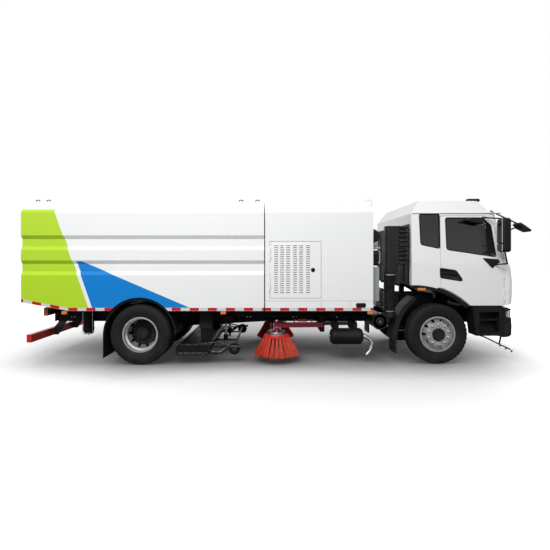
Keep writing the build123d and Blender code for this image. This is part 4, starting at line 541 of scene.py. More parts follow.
def worn_steel():
    """Bare steel worn by grit: grey and scratched along the road, 2 mm drawn at 14 mm."""
    made, tree, shader, place = fresh("grit_worn_steel", Metallic=0.85)
    along = add(tree, "Mapping", {"Vector": place, "Scale": (0.3, 1.0, 1.0)})
    scratch = add(tree, "TexNoise",
                  {"Vector": along, "Scale": grains(14), "Detail": 5.0, "Roughness": 0.7})
    bright = add(tree, "MapRange", {0: scratch, 1: 0.52, 2: 0.72})
    colour = add(tree, "Mix", {0: bright, 6: tone("2b2b2c"), 7: tone("a9abac")}, data_type="RGBA")
    dusty = road_film(tree, place, colour, 0.9, 0.1)
    dress(tree, shader, dusty, (scratch, 0.6, 0.35), (scratch, 0.2, 0.6))
    return made


finish(chip_paint("nozzle_chip_paint", "0a0a0b", 0.04), "suction_nozzle")
finish(vulcanised_rubber("moulded_duct_rubber", "1b1b1c", 0.2), "suction_ducts")
NOZZLE_END = 1.130
CASTER_CAP = ((CORE, 0.0), (0.052, 0.0), (0.056, 0.004), (0.030, 0.010), (0.022, 0.018), (CORE, 0.018))
plates = []
cast = []
for side in (1, -1):
    y = NOZZLE_END * side
    plates.append(block((-1.69, y, 0.150), (-1.18, y + 0.006 * side, 0.200), 0.002))
    plates += [bolt_head((x, y + 0.006 * side, 0.175), "Y", side, 0.009, 0.006)
               for x in (-1.65, -1.54, -1.43, -1.32, -1.21)]
    plates.append(block((-1.70, y - 0.05 * side, 0.316), (-1.17, y - 0.01 * side, 0.334), 0.002))
    plates.append(block((-0.86, 1.095 * side, 0.268), (-0.615, 1.110 * side, 0.310), 0.003))
    cap = [(r, a * side) for r, a in CASTER_CAP]
    plates.append(turned(cap, (-0.734, 1.068 * side, 0.242), "Y", 32))
    shoe = rounded(((-1.16, 1.07 * side, 0.20), (-1.05, 1.10 * side, 0.185),
                    (-0.95, 1.10 * side, 0.20), (-0.86, 1.09 * side, 0.27)), 0.04, closed=False)
    link = rounded(((-1.30, 1.05 * side, 0.325), (-1.10, 1.06 * side, 0.350),
                    (-0.95, 1.05 * side, 0.330), (-0.80, 1.05 * side, 0.295)), 0.03, closed=False)
    cast += [bar(shoe, 0.030, 12, flat=0.5), bar(link, 0.013, 10)]
WORN_STEEL = worn_steel()
build("nozzle_wear_plates", plates, WORN_STEEL, "nozzle", smooth=True)
build("nozzle_drag_links", cast, WORN_STEEL, "nozzle", smooth=True)

# Side brushes and their arms
# Polypropylene bristles in tufts are stapled into a red moulded disc under a plated drive
# plate. The arm is folded steel in crimson enamel, with the brush's motor on its end.
BRUSH_X, BRUSH_Y = -0.014, 0.845
DISC_Z = 0.430
BRISTLE_RADIUS = 0.0040
# Tufts, bristles in each, radius at the disc and at the tips, height of the tips, and seed.
RINGS = ((24, 40, 0.210, 0.372, 0.105, 7), (20, 36, 0.185, 0.300, 0.062, 19),
         (12, 30, 0.120, 0.200, 0.062, 31))


def drawn_bristle():
    """Extruded polypropylene bristle: orange red with a soft shine, worn and dirty at the tips."""
    made, tree, shader, place = fresh("extruded_bristle")
    # Bristles are 2 mm thick and vary one from the next, so streaks of 14 mm run down them.
    down = add(tree, "Mapping", {"Vector": place, "Scale": (1.0, 1.0, 0.1)})
    streak = add(tree, "TexNoise", {"Vector": down, "Scale": grains(14), "Detail": 3.0})
    vary = add(tree, "MapRange", {0: streak, 1: 0.3, 2: 0.7})
    colour = add(tree, "Mix", {0: vary, 6: tone("a81d0e"), 7: tone("f8664c")}, data_type="RGBA")
    z = add(tree, "SeparateXYZ", {0: place}).outputs["Z"]
    worn = add(tree, "MapRange", {0: z, 1: 0.13, 2: 0.05, 3: 0.0, 4: 0.6})
    tips = add(tree, "Mix", {0: worn, 6: colour, 7: tone("8e5344")}, data_type="RGBA")
    dress(tree, shader, tips, (streak, 0.35, 0.55), (streak, 0.2, 0.8))
    return made


def tuft_ring(tufts, per_tuft, top_r, low_r, low_z, seed):
    """A ring of tufts: bristles gathered close at the disc that fan out to ragged tips."""
    draw = random.Random(seed)
    groups = []
    for n in range(tufts):
        middle = 2 * math.pi * n / tufts
        for _ in range(per_tuft):
            across, through, tip = [draw.uniform(-1.0, 1.0) for _ in range(3)]
            a_top = middle + across * 0.055
            a_low = middle + across * 0.105 + tip * 0.02
            r_top = top_r + through * 0.012
            r_low = low_r + through * 0.030
            z_low = low_z + abs(tip) * 0.030
            bent = (0.5, r_top + (r_low - r_top) * 0.45, (a_top + a_low) / 2)
            rings = []
            for share, r, a in ((0.0, r_top, a_top), bent, (1.0, r_low, a_low)):
                at = Vector((r * math.cos(a), r * math.sin(a), DISC_Z + (z_low - DISC_Z) * share))
                wide = BRISTLE_RADIUS * (1.0 - share * 0.4)
                turns = [2 * math.pi * k / 3 for k in range(3)]
                rings.append([at + Vector((math.cos(t), math.sin(t), 0.0)) * wide for t in turns])
            groups.append(lofted(rings))
    return groups


BRISTLE = drawn_bristle()
DISC_RED = moulded_black("brush_disc_polypropylene", "c02a20", 0.1)
CRIMSON = stoved_enamel("crimson_arm_enamel", "8a1034")
ORANGE = stoved_enamel("orange_spring_enamel", "d9531f")
finish(CRIMSON, "brush_arm*")
TUFTS = [bristle for ring in RINGS for bristle in tuft_ring(*ring)]
DISC = ((0.020, 0.452), (0.200, 0.452), (0.222, 0.446), (0.228, 0.436), (0.222, 0.418),
        (0.205, 0.412), (0.020, 0.412))
PLATE = ((0.020, 0.512), (0.160, 0.512), (0.168, 0.508), (0.172, 0.500), (0.166, 0.492),
         (0.150, 0.486), (0.150, 0.452), (0.020, 0.452))
MOTOR_CAP = ((CORE, 0.690), (0.040, 0.690), (0.036, 0.704), (CORE, 0.704))
PLATE_BOLTS, PLATE_BOLT_RING = 8, 0.125
for word, side in SIDES:
    centre = Vector((BRUSH_X, BRUSH_Y * side, 0.0))
    placed = [([centre + p for p in points], faces) for points, faces in TUFTS]
    plate = [turned(PLATE, centre, "Z", 72)]
    for k in range(PLATE_BOLTS):
        turn = 2 * math.pi * k / PLATE_BOLTS
        out = Vector((PLATE_BOLT_RING * math.cos(turn), PLATE_BOLT_RING * math.sin(turn), 0.512))
        plate.append(bolt_head(centre + out, "Z", 1, 0.011, 0.009))
    rotor = (("bristles", placed, BRISTLE, False),
             ("disc", [turned(DISC, centre, "Z", 72)], DISC_RED, True),
             ("drive_plate", plate, STEEL, True))
    for label, groups, material, smooth in rotor:
        made = build(f"brush_{label}_{word}", groups, material, f"brush_{word}", smooth)
        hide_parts(f"brush_{word}")
    bosses = [hoop((0.046, 0.062), (0.575, 0.590), centre, "Z", 32),
              turned(MOTOR_CAP, centre, "Z", 32)]
    bosses += [bar((centre + Vector((dx, -0.046 * side, 0.65)),
                    centre + Vector((dx, -0.075 * side, 0.65))), 0.012) for dx in (-0.022, 0.022)]
    build(f"brush_motor_ports_{word}", bosses, STEEL, f"brush_arm_{word}", smooth=True)
    spring = [hoop((CORE, 0.026), (0.0, 0.16), (0.36, 0.785 * side, 0.690), "X", 24),
              bar(((0.30, 0.79 * side, 0.69), (0.62, 0.80 * side, 0.69)), 0.011)]
    spring += [block((x, 0.775 * side, 0.650), (x + 0.02, 0.815 * side, 0.705))
               for x in (0.29, 0.60)]
    build(f"brush_load_spring_{word}", spring, ORANGE, f"brush_arm_{word}", smooth=True)

# Hopper, compartment and their paint
# Welded sheet steel sprayed with white two-pack enamel, with broad slanted bands in green and
# blue on the flanks behind, and a strip of red and white reflecting tape along the edge.
WHITE_CODES = ("f1f2f2", "f4f5f5")
FLANK_Y = 1.19
# Corners of each band as X and Z, all the way round with the inside on the left.
GREEN_BAND = ((-4.30, 0.90), (-3.90, 0.90), (-3.12, 0.90), (-3.72, 2.60), (-4.30, 2.60))
BLUE_BAND = ((-3.06, 0.90), (-1.456, 0.964), (-3.26, 1.734), (-3.35, 1.734))
BANDS = ((GREEN_BAND, "b7dc2e"), (BLUE_BAND, "0480d2"))
TAPE_LOW, TAPE_HIGH, TAPE_BLOCK = 0.914, 0.964, 0.150
TAPE_START_REAR, TAPE_START_FRONT = 0.125, 0.040
REAR_CUT_X, REAR_CUT_SLOPE = -3.471, 0.181


def inside_band(tree, x, z, corners):
    """A mask that is 1 inside a convex band, worked out edge by edge."""
    mask = None
    for (ax, az), (bx, bz) in zip(corners, corners[1:] + corners[:1]):
        long = math.hypot(bx - ax, bz - az)
        over, up = (bx - ax) / long, (bz - az) / long
        off = add(tree, "Math", {0: x, 1: -up, 2: ax * up - az * over}, operation="MULTIPLY_ADD")
        off = add(tree, "Math", {0: z, 1: over, 2: off}, operation="MULTIPLY_ADD")
        edge = add(tree, "MapRange", {0: off, 1: -0.002, 2: 0.002})
        mask = add(tree, "Math", {0: edge, 1: mask}, operation="MULTIPLY") if mask else edge
    return mask


def banded(tree, place, colour):
    """The bands and the tape over a colour, on the flanks alone."""
    parts = add(tree, "SeparateXYZ", {0: place})
    x, z = parts.outputs["X"], parts.outputs["Z"]
    out = add(tree, "Math", {0: parts.outputs["Y"]}, operation="ABSOLUTE")
    flank = add(tree, "Math", {0: out, 1: FLANK_Y}, operation="GREATER_THAN")
    for corners, code in BANDS:
        mask = inside_band(tree, x, z, corners)
        mask = add(tree, "Math", {0: mask, 1: flank}, operation="MULTIPLY")
        colour = add(tree, "Mix", {0: mask, 6: colour, 7: tone(code)}, data_type="RGBA")
    # Behind the rear cut the body's edge rises, and the tape with it.
    past = add(tree, "Math", {0: REAR_CUT_X, 1: x}, operation="SUBTRACT")
    rise = add(tree, "Math", {0: past, 1: 0.0}, operation="MAXIMUM")
    over = add(tree, "Math", {0: rise, 1: -REAR_CUT_SLOPE, 2: z}, operation="MULTIPLY_ADD")
    middle = (TAPE_LOW + TAPE_HIGH) / 2
    strip = add(tree, "Math", {0: over, 1: middle, 2: TAPE_HIGH - middle}, operation="COMPARE")
    strip = add(tree, "Math", {0: strip, 1: flank}, operation="MULTIPLY")
    ahead = add(tree, "Math", {0: x, 1: REAR_X}, operation="GREATER_THAN")
    start = add(tree, "MapRange",
                {0: ahead, 1: 0.0, 2: 1.0, 3: TAPE_START_REAR, 4: TAPE_START_FRONT})
    run = add(tree, "Math", {0: x, 1: start}, operation="SUBTRACT")
    turn = add(tree, "Math", {0: run, 1: TAPE_BLOCK * 2}, operation="FLOORED_MODULO")
    red = add(tree, "Math", {0: turn, 1: TAPE_BLOCK}, operation="LESS_THAN")
    tape = add(tree, "Mix", {0: red, 6: tone("d4d7d8"), 7: tone("bf1a21")}, data_type="RGBA")
    return add(tree, "Mix", {0: strip, 6: colour, 7: tape}, data_type="RGBA")


def two_pack_white(name, bands=False, arch=None):
    """White two-pack enamel: glossy under lacquer, with an orange peel of 2 mm drawn at 5 mm.

    Inside arch, a circle's X, Z and radius, it is covered with black underseal.
    """
    made, tree, shader, place = fresh(name, Coat_Weight=0.15, Coat_Roughness=0.06,
                                      Specular_IOR_Level=0.35)
    cloud = add(tree, "TexNoise", {"Vector": place, "Scale": grains(600), "Detail": 4.0})
    pale, paler = map(tone, WHITE_CODES)
    colour = add(tree, "Mix", {0: cloud, 6: pale, 7: paler}, data_type="RGBA")
    if bands:
        colour = banded(tree, place, colour)
    if arch:
        middle = (arch[0], 0.0, arch[1])
        away = add(tree, "VectorMath", {0: place, 1: middle}, operation="SUBTRACT")
        flat = add(tree, "VectorMath", {0: away, 1: (1.0, 0.0, 1.0)}, operation="MULTIPLY")
        reach = add(tree, "VectorMath", {0: flat}, operation="LENGTH").outputs["Value"]
        near = add(tree, "Math", {0: reach, 1: arch[2]}, operation="LESS_THAN")
        colour = add(tree, "Mix", {0: near, 6: colour, 7: tone("141415")}, data_type="RGBA")
    peel = add(tree, "TexNoise", {"Vector": place, "Scale": grains(5), "Detail": 1.0})
    panel = add(tree, "TexNoise", {"Vector": place, "Scale": grains(450), "Detail": 2.0})
    relief = add(tree, "Math", {0: panel, 1: 8.0, 2: peel}, operation="MULTIPLY_ADD")
    dusty = road_film(tree, place, colour, 1.25, 0.1)
    dress(tree, shader, dusty, (cloud, 0.24, 0.28), (relief, 0.08, 0.3))
    return made


BODY_WHITE = two_pack_white("banded_body_enamel", bands=True)
CAB_WHITE = two_pack_white("cab_enamel")
SEAL_RUBBER = vulcanised_rubber("extruded_seal_rubber", "101011", 0.1)
AMBER = ribbed_acrylic("amber_acrylic", "ee8b22", "ee8b22", 9.0, "X")
finish(BODY_WHITE, "hopper_body", "equipment_compartment")
finish(CAB_WHITE, "tailgate", "compartment_door*")
WALL_Y = 1.250
MARKER_PLACES = (-3.552, -0.907, 1.536)
VENT = rounded(window(1.305, 0.972, 1.455, 1.035), 0.022)
seams = []
vents = []
for side in (1, -1):
    y = WALL_Y * side
    low, high = y - 0.002 * side, y + 0.001 * side
    seams.append(block((-0.200, low, 1.0755), (1.580, high, 1.0785), 0.0005))
    seams += [block((x, low, 0.970), (x + 0.003, high, 1.077), 0.0005) for x in (0.72, 1.20)]
    vents.append(bar([(p.x, y, p.y) for p in VENT], 0.008, 8, closed=True))
    vents.append(block((1.305, y, 0.972), (1.455, y + 0.003 * side, 1.035)))
    vents += [block((1.318, y, z), (1.442, y + 0.008 * side, z + 0.006), 0.001)
              for z in (0.985, 1.000, 1.015)]
build("side_panel_seams", seams, SEAL_RUBBER, "chassis")
build("side_vents", vents, MOULDED_BLACK, "chassis", smooth=True)
eyes = []
for x in (-4.08, -3.90, -0.62, -0.34):
    for y in (-1.06, 1.06):
        loop = ((x - 0.03, y, 2.742), (x - 0.03, y, 2.775), (x + 0.03, y, 2.775), (x + 0.03, y, 2.742))
        eyes.append(bar(rounded(loop, 0.015, 4, False), 0.007, 8))
build("roof_lifting_eyes", eyes, MOULDED_BLACK, "hopper", smooth=True)
lid = [(p.x, p.y, 2.790) for p in rounded(window(-0.02, -0.75, 0.46, 0.75), 0.06)]
hatch = [bar(lid, 0.009, 8, closed=True), block((-0.01, -0.74, 2.784), (0.45, 0.74, 2.792), 0.003)]
for y in (-1.06, 1.06):
    drain = ((1.470, y, 2.752), (1.530, y, 2.790), (1.602, y, 2.760), (1.604, y, 2.600))
    hatch.append(bar(rounded(drain, 0.035, 6, False), 0.013, 12))
    hatch += [block((1.584, y - 0.02, z), (1.610, y + 0.02, z + 0.03)) for z in (2.62, 2.70)]
build("roof_hatch_and_drain_pipes", hatch, CAB_WHITE, "chassis", smooth=True)
lamps = [block((x - 0.045, 1.205 * side, 0.852), (x + 0.045, 1.240 * side, 0.905), 0.008)
         for x in MARKER_PLACES for side in (1, -1)]
build("side_marker_lamps", lamps, AMBER, "chassis", smooth=True)
stalks = [block((x - 0.012, 1.215 * side, 0.900), (x + 0.012, 1.230 * side, 0.922))
          for x in MARKER_PLACES for side in (1, -1)]
build("side_marker_stalks", stalks, MOULDED_BLACK, "chassis")

# Louvred compartment doors
# Each door is one white steel panel with six columns of louvres pressed in for cooling air,
# their openings filled with painted shade, hung on hinges and shut by a round rotating latch.
LOUVRE_COLUMNS = (-0.030, 0.070, 0.169, 0.285, 0.385, 0.501)
LOUVRE_LOWEST, LOUVRE_PITCH, LOUVRE_ROWS = 1.225, 0.0300, 27
LOUVRE_HALF = 0.036
# How far the hood stands out and how high it reaches, from its root over its lip and back.
LOUVRE_SWEEP = ((0.0, 0.015), (0.005, 0.013), (0.009, 0.007), (0.010, -0.002),
                (0.0085, -0.0025), (0.0075, 0.006), (0.0, 0.012))
LATCH = ((CORE, 0.0), (0.036, 0.0), (0.036, 0.004), (0.031, 0.008), (0.024, 0.008),
         (0.021, 0.003), (CORE, 0.003))


def louvre(x, z, side):
    """A pressed hood: closed at its ends, bulging out and open below."""
    rings = []
    for share in (-1.0, -0.8, 0.8, 1.0):
        bulge = 0.0 if abs(share) == 1.0 else 1.0
        rings.append([Vector((x + LOUVRE_HALF * share, (WALL_Y + out * bulge) * side, z + up))
                      for out, up in LOUVRE_SWEEP])
    return lofted(rings, "open")


# A dark black moulding, also laid as thin sheets in the louvres' openings as painted shade.
SLOT_SHADE_AND_BLACK = moulded_black("slot_shade_and_black_moulding", "101112", 0.05)
for word, side in SIDES:
    door = f"compartment_door_{word}"
    y = WALL_Y * side
    places = [(x, LOUVRE_LOWEST + LOUVRE_PITCH * n)
              for x in LOUVRE_COLUMNS for n in range(LOUVRE_ROWS)]
    hoods = [louvre(x, z, side) for x, z in places]
    build(f"pressed_louvres_{word}", hoods, CAB_WHITE, door, smooth=True)
    # A thin dark sheet in each louvre's opening: painted shade.
    slot_shade = [block((x - 0.030, y - 0.002 * side, z - 0.015), (x + 0.030, y + 0.0008 * side, z + 0.001),
                   0.0004) for x, z in places]
    build(f"louvre_slot_shade_{word}", slot_shade, SLOT_SHADE_AND_BLACK, door)
    latch = [turned([(r, y + a * side) for r, a in LATCH], (0.584, 0.0, 1.591), "Y", 40),
             block((0.566, y, 1.585), (0.602, y + 0.010 * side, 1.597))]
    build(f"door_latch_{word}", latch, MOULDED_BLACK, door, smooth=True)

# Tailgate seal and catches
# The rear door closes on a black rubber seal, held by two plated catches at its lower edge.
GATE_X, GATE_Y, SEAL_LOW, SEAL_TOP = -4.258, 1.150, 1.179, 2.434
seal = [(GATE_X + 0.012, p.x, p.y)
        for p in rounded(window(-GATE_Y, SEAL_LOW, GATE_Y, SEAL_TOP), 0.04)]
build("tailgate_seal", [bar(seal, 0.008, 8, closed=True)], SEAL_RUBBER, "tailgate", smooth=True)
catches = []
for y in (-0.62, 0.62):
    catches += [block((GATE_X - 0.020, y - 0.035, 1.20), (GATE_X + 0.006, y + 0.035, 1.34), 0.006),
                bar(((GATE_X - 0.022, y, 1.24), (GATE_X - 0.030, y, 1.30),
                     (GATE_X - 0.022, y, 1.36)), 0.009)]
build("tailgate_catches", catches, STEEL, "tailgate", smooth=True)

# Machinery behind the cab
# A ribbed air intake head and its corrugated duct in black moulded plastic lead down to a
# round air cleaner, and a grey control cabinet hangs on the compartment's front wall.
INTAKE_BLACK = moulded_black("intake_polyethylene", "1d1e20", 0.05, (0.28, 0.42))
CABINET = stoved_enamel("grey_cabinet_enamel", "9a9da0")
finish(INTAKE_BLACK, "air_intake")
DUCT = (1.904, -1.050, 0.0)
DUCT_LOW, FOLD, FOLDS = 0.90, 0.022, 27
CLEANER_X, CLEANER_Z = 1.725, 0.719
FRONT_WALL_X = 1.584
folds = []
for n in range(FOLDS):
    z = DUCT_LOW + FOLD * n
    folds += [(0.087, z), (0.098 if n % 9 else 0.104, z + FOLD / 2)]
duct_top = DUCT_LOW + FOLD * FOLDS
sleeve = folds + [(0.087, duct_top), (0.080, duct_top), (0.080, DUCT_LOW)]
build("intake_bellows", [turned(sleeve, DUCT, "Z", 48)], INTAKE_BLACK, "chassis")
outline = rounded(window(2.060, -1.148, 2.203, -0.955), 0.04)
ribs = [bar([(p.x, p.y, 1.70 + 0.076 * n) for p in outline], 0.019, 10, closed=True)
        for n in range(9)]
build("intake_head_ribs", ribs, INTAKE_BLACK, "chassis", smooth=True)
END_CAP = ((CORE, -1.148), (0.030, -1.148), (0.040, -1.156), (0.062, -1.156), (0.070, -1.150),
           (0.112, -1.150), (0.118, -1.158), (0.134, -1.158), (0.139, -1.150), (0.139, -1.110),
           (CORE, -1.110))
HANDWHEEL = ((CORE, -1.165), (0.014, -1.165), (0.018, -1.156), (CORE, -1.156))
cover = [turned(END_CAP, (CLEANER_X, 0.0, CLEANER_Z), "Y", 56)]
build("cleaner_end_cap", cover, SLOT_SHADE_AND_BLACK, "chassis", smooth=True)
clamps = [hoop((0.098, 0.103), (z, z + 0.014), DUCT, "Z", 40) for z in (0.885, 1.50)]
clamps.append(turned(HANDWHEEL, (CLEANER_X, 0.0, CLEANER_Z), "Y", 24))
for k in range(3):
    turn = math.pi * (0.5 + 2 * k / 3)
    at = Vector((CLEANER_X + 0.137 * math.cos(turn), -1.12, CLEANER_Z + 0.137 * math.sin(turn)))
    half = Vector((0.012, 0.035, 0.012))
    clamps.append(block(at - half, at + half, 0.003))
build("intake_clamps", clamps, STEEL, "chassis", smooth=True)


def on_wall(out, y, z):
    """A point in front of the compartment's front wall."""
    return FRONT_WALL_X + out, y, z


cabinet = [block(on_wall(0.0, -1.16, 1.06), on_wall(0.125, -0.50, 1.64), 0.012),
           block(on_wall(0.125, -1.12, 1.10), on_wall(0.131, -0.54, 1.60), 0.003),
           block(on_wall(0.0, -1.17, 1.94), on_wall(0.14, -0.48, 1.975), 0.010),
           block(on_wall(0.0, -1.14, 1.975), on_wall(0.11, -0.50, 2.07), 0.030)]
build("control_cabinet", cabinet, CABINET, "chassis")
PUMP = ((CORE, 0.0), (0.10, 0.0), (0.118, 0.02), (0.118, 0.60), (0.10, 0.62), (CORE, 0.62))
pump = [turned(PUMP, on_wall(0.02, -1.15, 2.16), "Y", 40),
        block(on_wall(0.0, -1.15, 1.66), on_wall(0.115, -0.52, 1.92), 0.012)]
pump += [block(on_wall(0.02, -1.165, z), on_wall(0.10, -1.15, z + 0.03)) for z in (1.69, 1.76, 1.83)]
build("cabinet_pump", pump, MOULDED_BLACK, "chassis", smooth=True)
pipes = []
for y, z in ((-1.08, 1.90), (-0.98, 1.88), (-0.80, 1.90)):
    route = (on_wall(0.02, y, z), on_wall(0.15, y, z), on_wall(0.15, y, z - 0.20),
             on_wall(0.09, y, z - 0.20))
    pipes.append(bar(rounded(route, 0.03, 5, False), 0.014, 12))
for y in (-1.10, -1.00, -0.86):
    route = (on_wall(0.06, y, 1.08), on_wall(0.06, y, 0.98), on_wall(0.0, y, 0.98))
    pipes.append(bar(rounded(route, 0.03, 5, False), 0.020, 12))
pipes += [bar((on_wall(0.137, -1.05, z), on_wall(0.137, -1.00, z)), 0.008) for z in (1.20, 1.50)]
build("cabinet_pipes", pipes, STEEL, "chassis", smooth=True)
LINE_Y = -0.440
lines = [bar(((x0, LINE_Y, z), (x1, LINE_Y, z)), 0.011, 8)
         for x0, x1, z in ((-1.62, 0.70, 0.680), (-1.62, 0.30, 0.655), (-0.60, 1.55, 0.745))]
lines += [block((x, -RAIL_FACE, 0.640), (x + 0.03, LINE_Y - 0.016, 0.765))
          for x in (-1.5, -0.9, -0.3, 0.25)]
lines += [block((-0.98, -RAIL_FACE, 0.60), (-0.80, -0.56, 0.74), 0.008),
          block((0.96, -RAIL_FACE, 0.66), (1.08, -0.53, 0.80), 0.008)]
lines += [hoop((CORE, 0.018), (-0.02, 0.0), (x, -0.56, 0.67), "Y", 16)
          for x in (-0.95, -0.89, -0.83)]
build("frame_valves_and_lines", lines, CHASSIS_BLACK, "chassis", smooth=True)

# Cab shell and doors
# Pressed steel shell in gloss white enamel. Tinted windows are bonded in with black rubber,
# a gutter runs above the doors, and the door pulls sit in black moulded recesses.
BELT_Z, DRIP_Z, CAB_TOP_Z = 1.700, 2.544, 2.770
BELT_Y, DRIP_Y, CAB_TOP_Y = 1.160, 1.118, 1.000
QUARTER = ((2.394, 2.534), (2.729, 2.534), (2.729, 1.951), (2.411, 2.018))
DOOR_WINDOW = ((2.834, 2.467), (3.444, 2.467), (3.594, 2.350), (3.671, 1.810), (2.848, 1.933))
PULL = rounded(((2.722, 1.628), (3.000, 1.588), (3.115, 1.425), (3.087, 1.397), (2.727, 1.455)),
               0.03, 4)
ARCH_X, ARCH_Z = 2.303, 0.021


def tinted_glass():
    """Toughened glass, tinted nearly black: smooth, with faint smears from wiping, 400 mm across."""
    made, tree, shader, place = fresh("tinted_toughened_glass", Alpha=0.86, IOR=1.52)
    smear = add(tree, "TexNoise", {"Vector": place, "Scale": grains(400), "Detail": 5.0})
    z = add(tree, "SeparateXYZ", {0: place}).outputs["Z"]
    low = add(tree, "MapRange", {0: z, 1: 2.40, 2: 1.85})
    shade = add(tree, "Mix", {0: low, 6: tone("131214"), 7: tone("302d2f")}, data_type="RGBA")
    colour = add(tree, "Mix", {0: smear, 6: shade, 7: tone("201e20")}, data_type="RGBA")
    dress(tree, shader, colour, (smear, 0.02, 0.10), (smear, 0.02, 0.2))
    return made


def flank_y(z):
    """Half width of the cab's outside at a height."""
    if z < BELT_Z:
        return BELT_Y
    if z < DRIP_Z:
        return BELT_Y - (z - BELT_Z) * (BELT_Y - DRIP_Y) / (DRIP_Z - BELT_Z)
    return DRIP_Y - (z - DRIP_Z) * (DRIP_Y - CAB_TOP_Y) / (CAB_TOP_Z - DRIP_Z)


CAB_UNDERSEALED = two_pack_white("cab_enamel_with_underseal", arch=(ARCH_X, ARCH_Z, 1.312))
finish(CAB_UNDERSEALED, "cab_shell")
finish(CAB_WHITE, "cab_door*")
finish(tinted_glass(), "cab_glass", "door_glass*")
finish(MOULDED_BLACK, "cab_arch_trims", "cab_grille", "cab_steps", "door_mirror*", "front_mirror")
for word, side in SIDES:
    door = f"cab_door_{word}"
    for label, corners, body in (("quarter", QUARTER, "cab"), ("door", DOOR_WINDOW, door)):
        path = [(p.x, (flank_y(p.y) - 0.001) * side, p.y) for p in rounded(corners, 0.04)]
        pressed_in = [bar(path, 0.010, 8, closed=True)]
        build(f"{label}_window_seal_{word}", pressed_in, SEAL_RUBBER, body, smooth=True)
    middle = sum(PULL, Vector((0.0, 0.0))) / len(PULL)
    rings = []
    for share, y in ((1.0, 1.1605), (1.0, 1.1660), (0.95, 1.1680), (0.88, 1.1665), (0.82, 1.1612)):
        ring = [middle + (p - middle) * share for p in PULL]
        rings.append([Vector((p.x, y * side, p.y)) for p in ring])
    build(f"door_pull_recess_{word}", [lofted(rings)], MOULDED_BLACK, door, smooth=True)
    grip = rounded(((2.770, 1.162 * side, 1.535), (2.800, 1.180 * side, 1.545),
                    (2.980, 1.180 * side, 1.515), (3.010, 1.162 * side, 1.500)), 0.015, 4, False)
    lock = hoop((CORE, 0.014), (1.162 * side, 1.170 * side), (2.760, 0.0, 1.585), "Y", 20)
    groups = [bar(grip, 0.016, 12, flat=0.5), lock]
    build(f"door_pull_{word}", groups, SLOT_SHADE_AND_BLACK, door, smooth=True)
    places = [2.270 + 0.3 * n for n in range(6)]
    gutter = [(x, (DRIP_Y + 0.002) * side, DRIP_Z + 0.006) for x in places]
    build(f"cab_gutter_{word}", [bar(gutter, 0.009, 8)], CAB_WHITE, "cab", smooth=True)
    line = [(x, (DRIP_Y + 0.004) * side, DRIP_Z - 0.004) for x in places]
    build(f"gutter_sealant_{word}", [bar(line, 0.004, 6)], SEAL_RUBBER, "cab", smooth=True)
    marker = [block((2.345, 1.168 * side, 1.243), (2.480, 1.186 * side, 1.288), 0.010)]
    build(f"arch_marker_{word}", marker, AMBER, "cab", smooth=True)
    base = [block((3.290, 0.86 * side, 2.762), (3.490, 0.97 * side, 2.815), 0.014)]
    build(f"roof_lamp_base_{word}", base, MOULDED_BLACK, "cab", smooth=True)
    lens = [block((3.480, 0.875 * side, 2.772), (3.500, 0.955 * side, 2.806), 0.006)]
    build(f"roof_lamp_lens_{word}", lens, AMBER, "cab", smooth=True)

# Corner panels, arch lip and painted shade on the rear of the cab
# Moulded corner panels bulge past the doors' front seams, white above the bumper line and
# black below. A rubber lip edges the arch, and a black ribbed sheet on the rear wall is painted shade.
CORNER_PLAN = ((3.828, 1.150), (3.870, 1.158), (3.920, 1.158), (3.943, 1.142), (3.962, 1.090),
               (3.980, 1.000), (3.995, 0.900))
CORNER_START, CORNER_STEP = 3.828, 0.075
# Each panel's rows give a height and how much of the full bulge it has there.
PANELS = (
    ("cab_corner_panel", CAB_WHITE, "cab",
     ((1.000, 0.6), (1.030, 0.9), (1.200, 1.0), (1.420, 1.0), (1.560, 0.85), (1.660, 0.5), (1.710, 0.1))),
    ("bumper_corner", MOULDED_BLACK, "chassis",
     ((0.470, 0.5), (0.500, 0.9), (0.640, 1.0), (0.780, 0.9), (0.792, 0.6))),
    ("bumper_corner_top", MOULDED_BLACK, "chassis", ((0.906, 0.6), (0.918, 0.9), (0.940, 0.7))),
)
LIP_SECTION = ((1.308, 1.150), (1.334, 1.150), (1.334, 1.166), (1.308, 1.170))
LIP_TURNS = [math.radians(46 + n) for n in range(28)]
for word, side in SIDES:
    for label, material, body, rows in PANELS:
        rings = []
        for z, bulge in rows:
            ring = []
            for x, y in CORNER_PLAN:
                back = CORNER_STEP * (1 - bulge) * min(1.0, (x - CORNER_START) / 0.05)
                ring.append(Vector((x - back, y * side, z)))
            ring += [Vector((x - 0.10, (y - 0.03) * side, z)) for x, y in reversed(CORNER_PLAN)]
            rings.append(ring)
        build(f"{label}_{word}", [lofted(rings)], material, body, smooth=True)
    rings = [[Vector((ARCH_X + r * math.cos(turn), y * side, ARCH_Z + r * math.sin(turn)))
              for r, y in LIP_SECTION] for turn in LIP_TURNS]
    build(f"arch_lip_{word}", [lofted(rings)], SEAL_RUBBER, "cab")
# Painted shade: a black sheet with four ribs laid over the cab's rear wall.
rear_shade_sheet = [block((2.238, -1.04, 1.33), (2.256, 1.04, 2.37), 0.009)]
rear_shade_sheet += [block((2.228, y - 0.012, 1.36), (2.242, y + 0.012, 2.34), 0.005)
        for y in (-0.78, -0.26, 0.26, 0.78)]
build("cab_rear_painted_shade", rear_shade_sheet, MOULDED_BLACK, "cab")

# Windscreen, wipers, lamps and mirrors
# The bonded windscreen has a rubber edge and two spring-loaded wipers. Headlamps are clear
# polycarbonate over plated reflectors, and the mirrors are silvered glass in black housings.
SCREEN = ((-1.030, 1.775), (1.030, 1.775), (0.940, 2.495), (-0.940, 2.495))
FRONT = ("cab_shell", "cab_glass", "cab_door_left", "cab_door_right")
SEAL_SPACING = 0.09
SKINS = {}
for name in (*FRONT, "headlamps"):
    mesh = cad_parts[name].data
    polygons = [tuple(p.vertices) for p in mesh.polygons]
    SKINS[name] = BVHTree.FromPolygons([v.co for v in mesh.vertices], polygons)


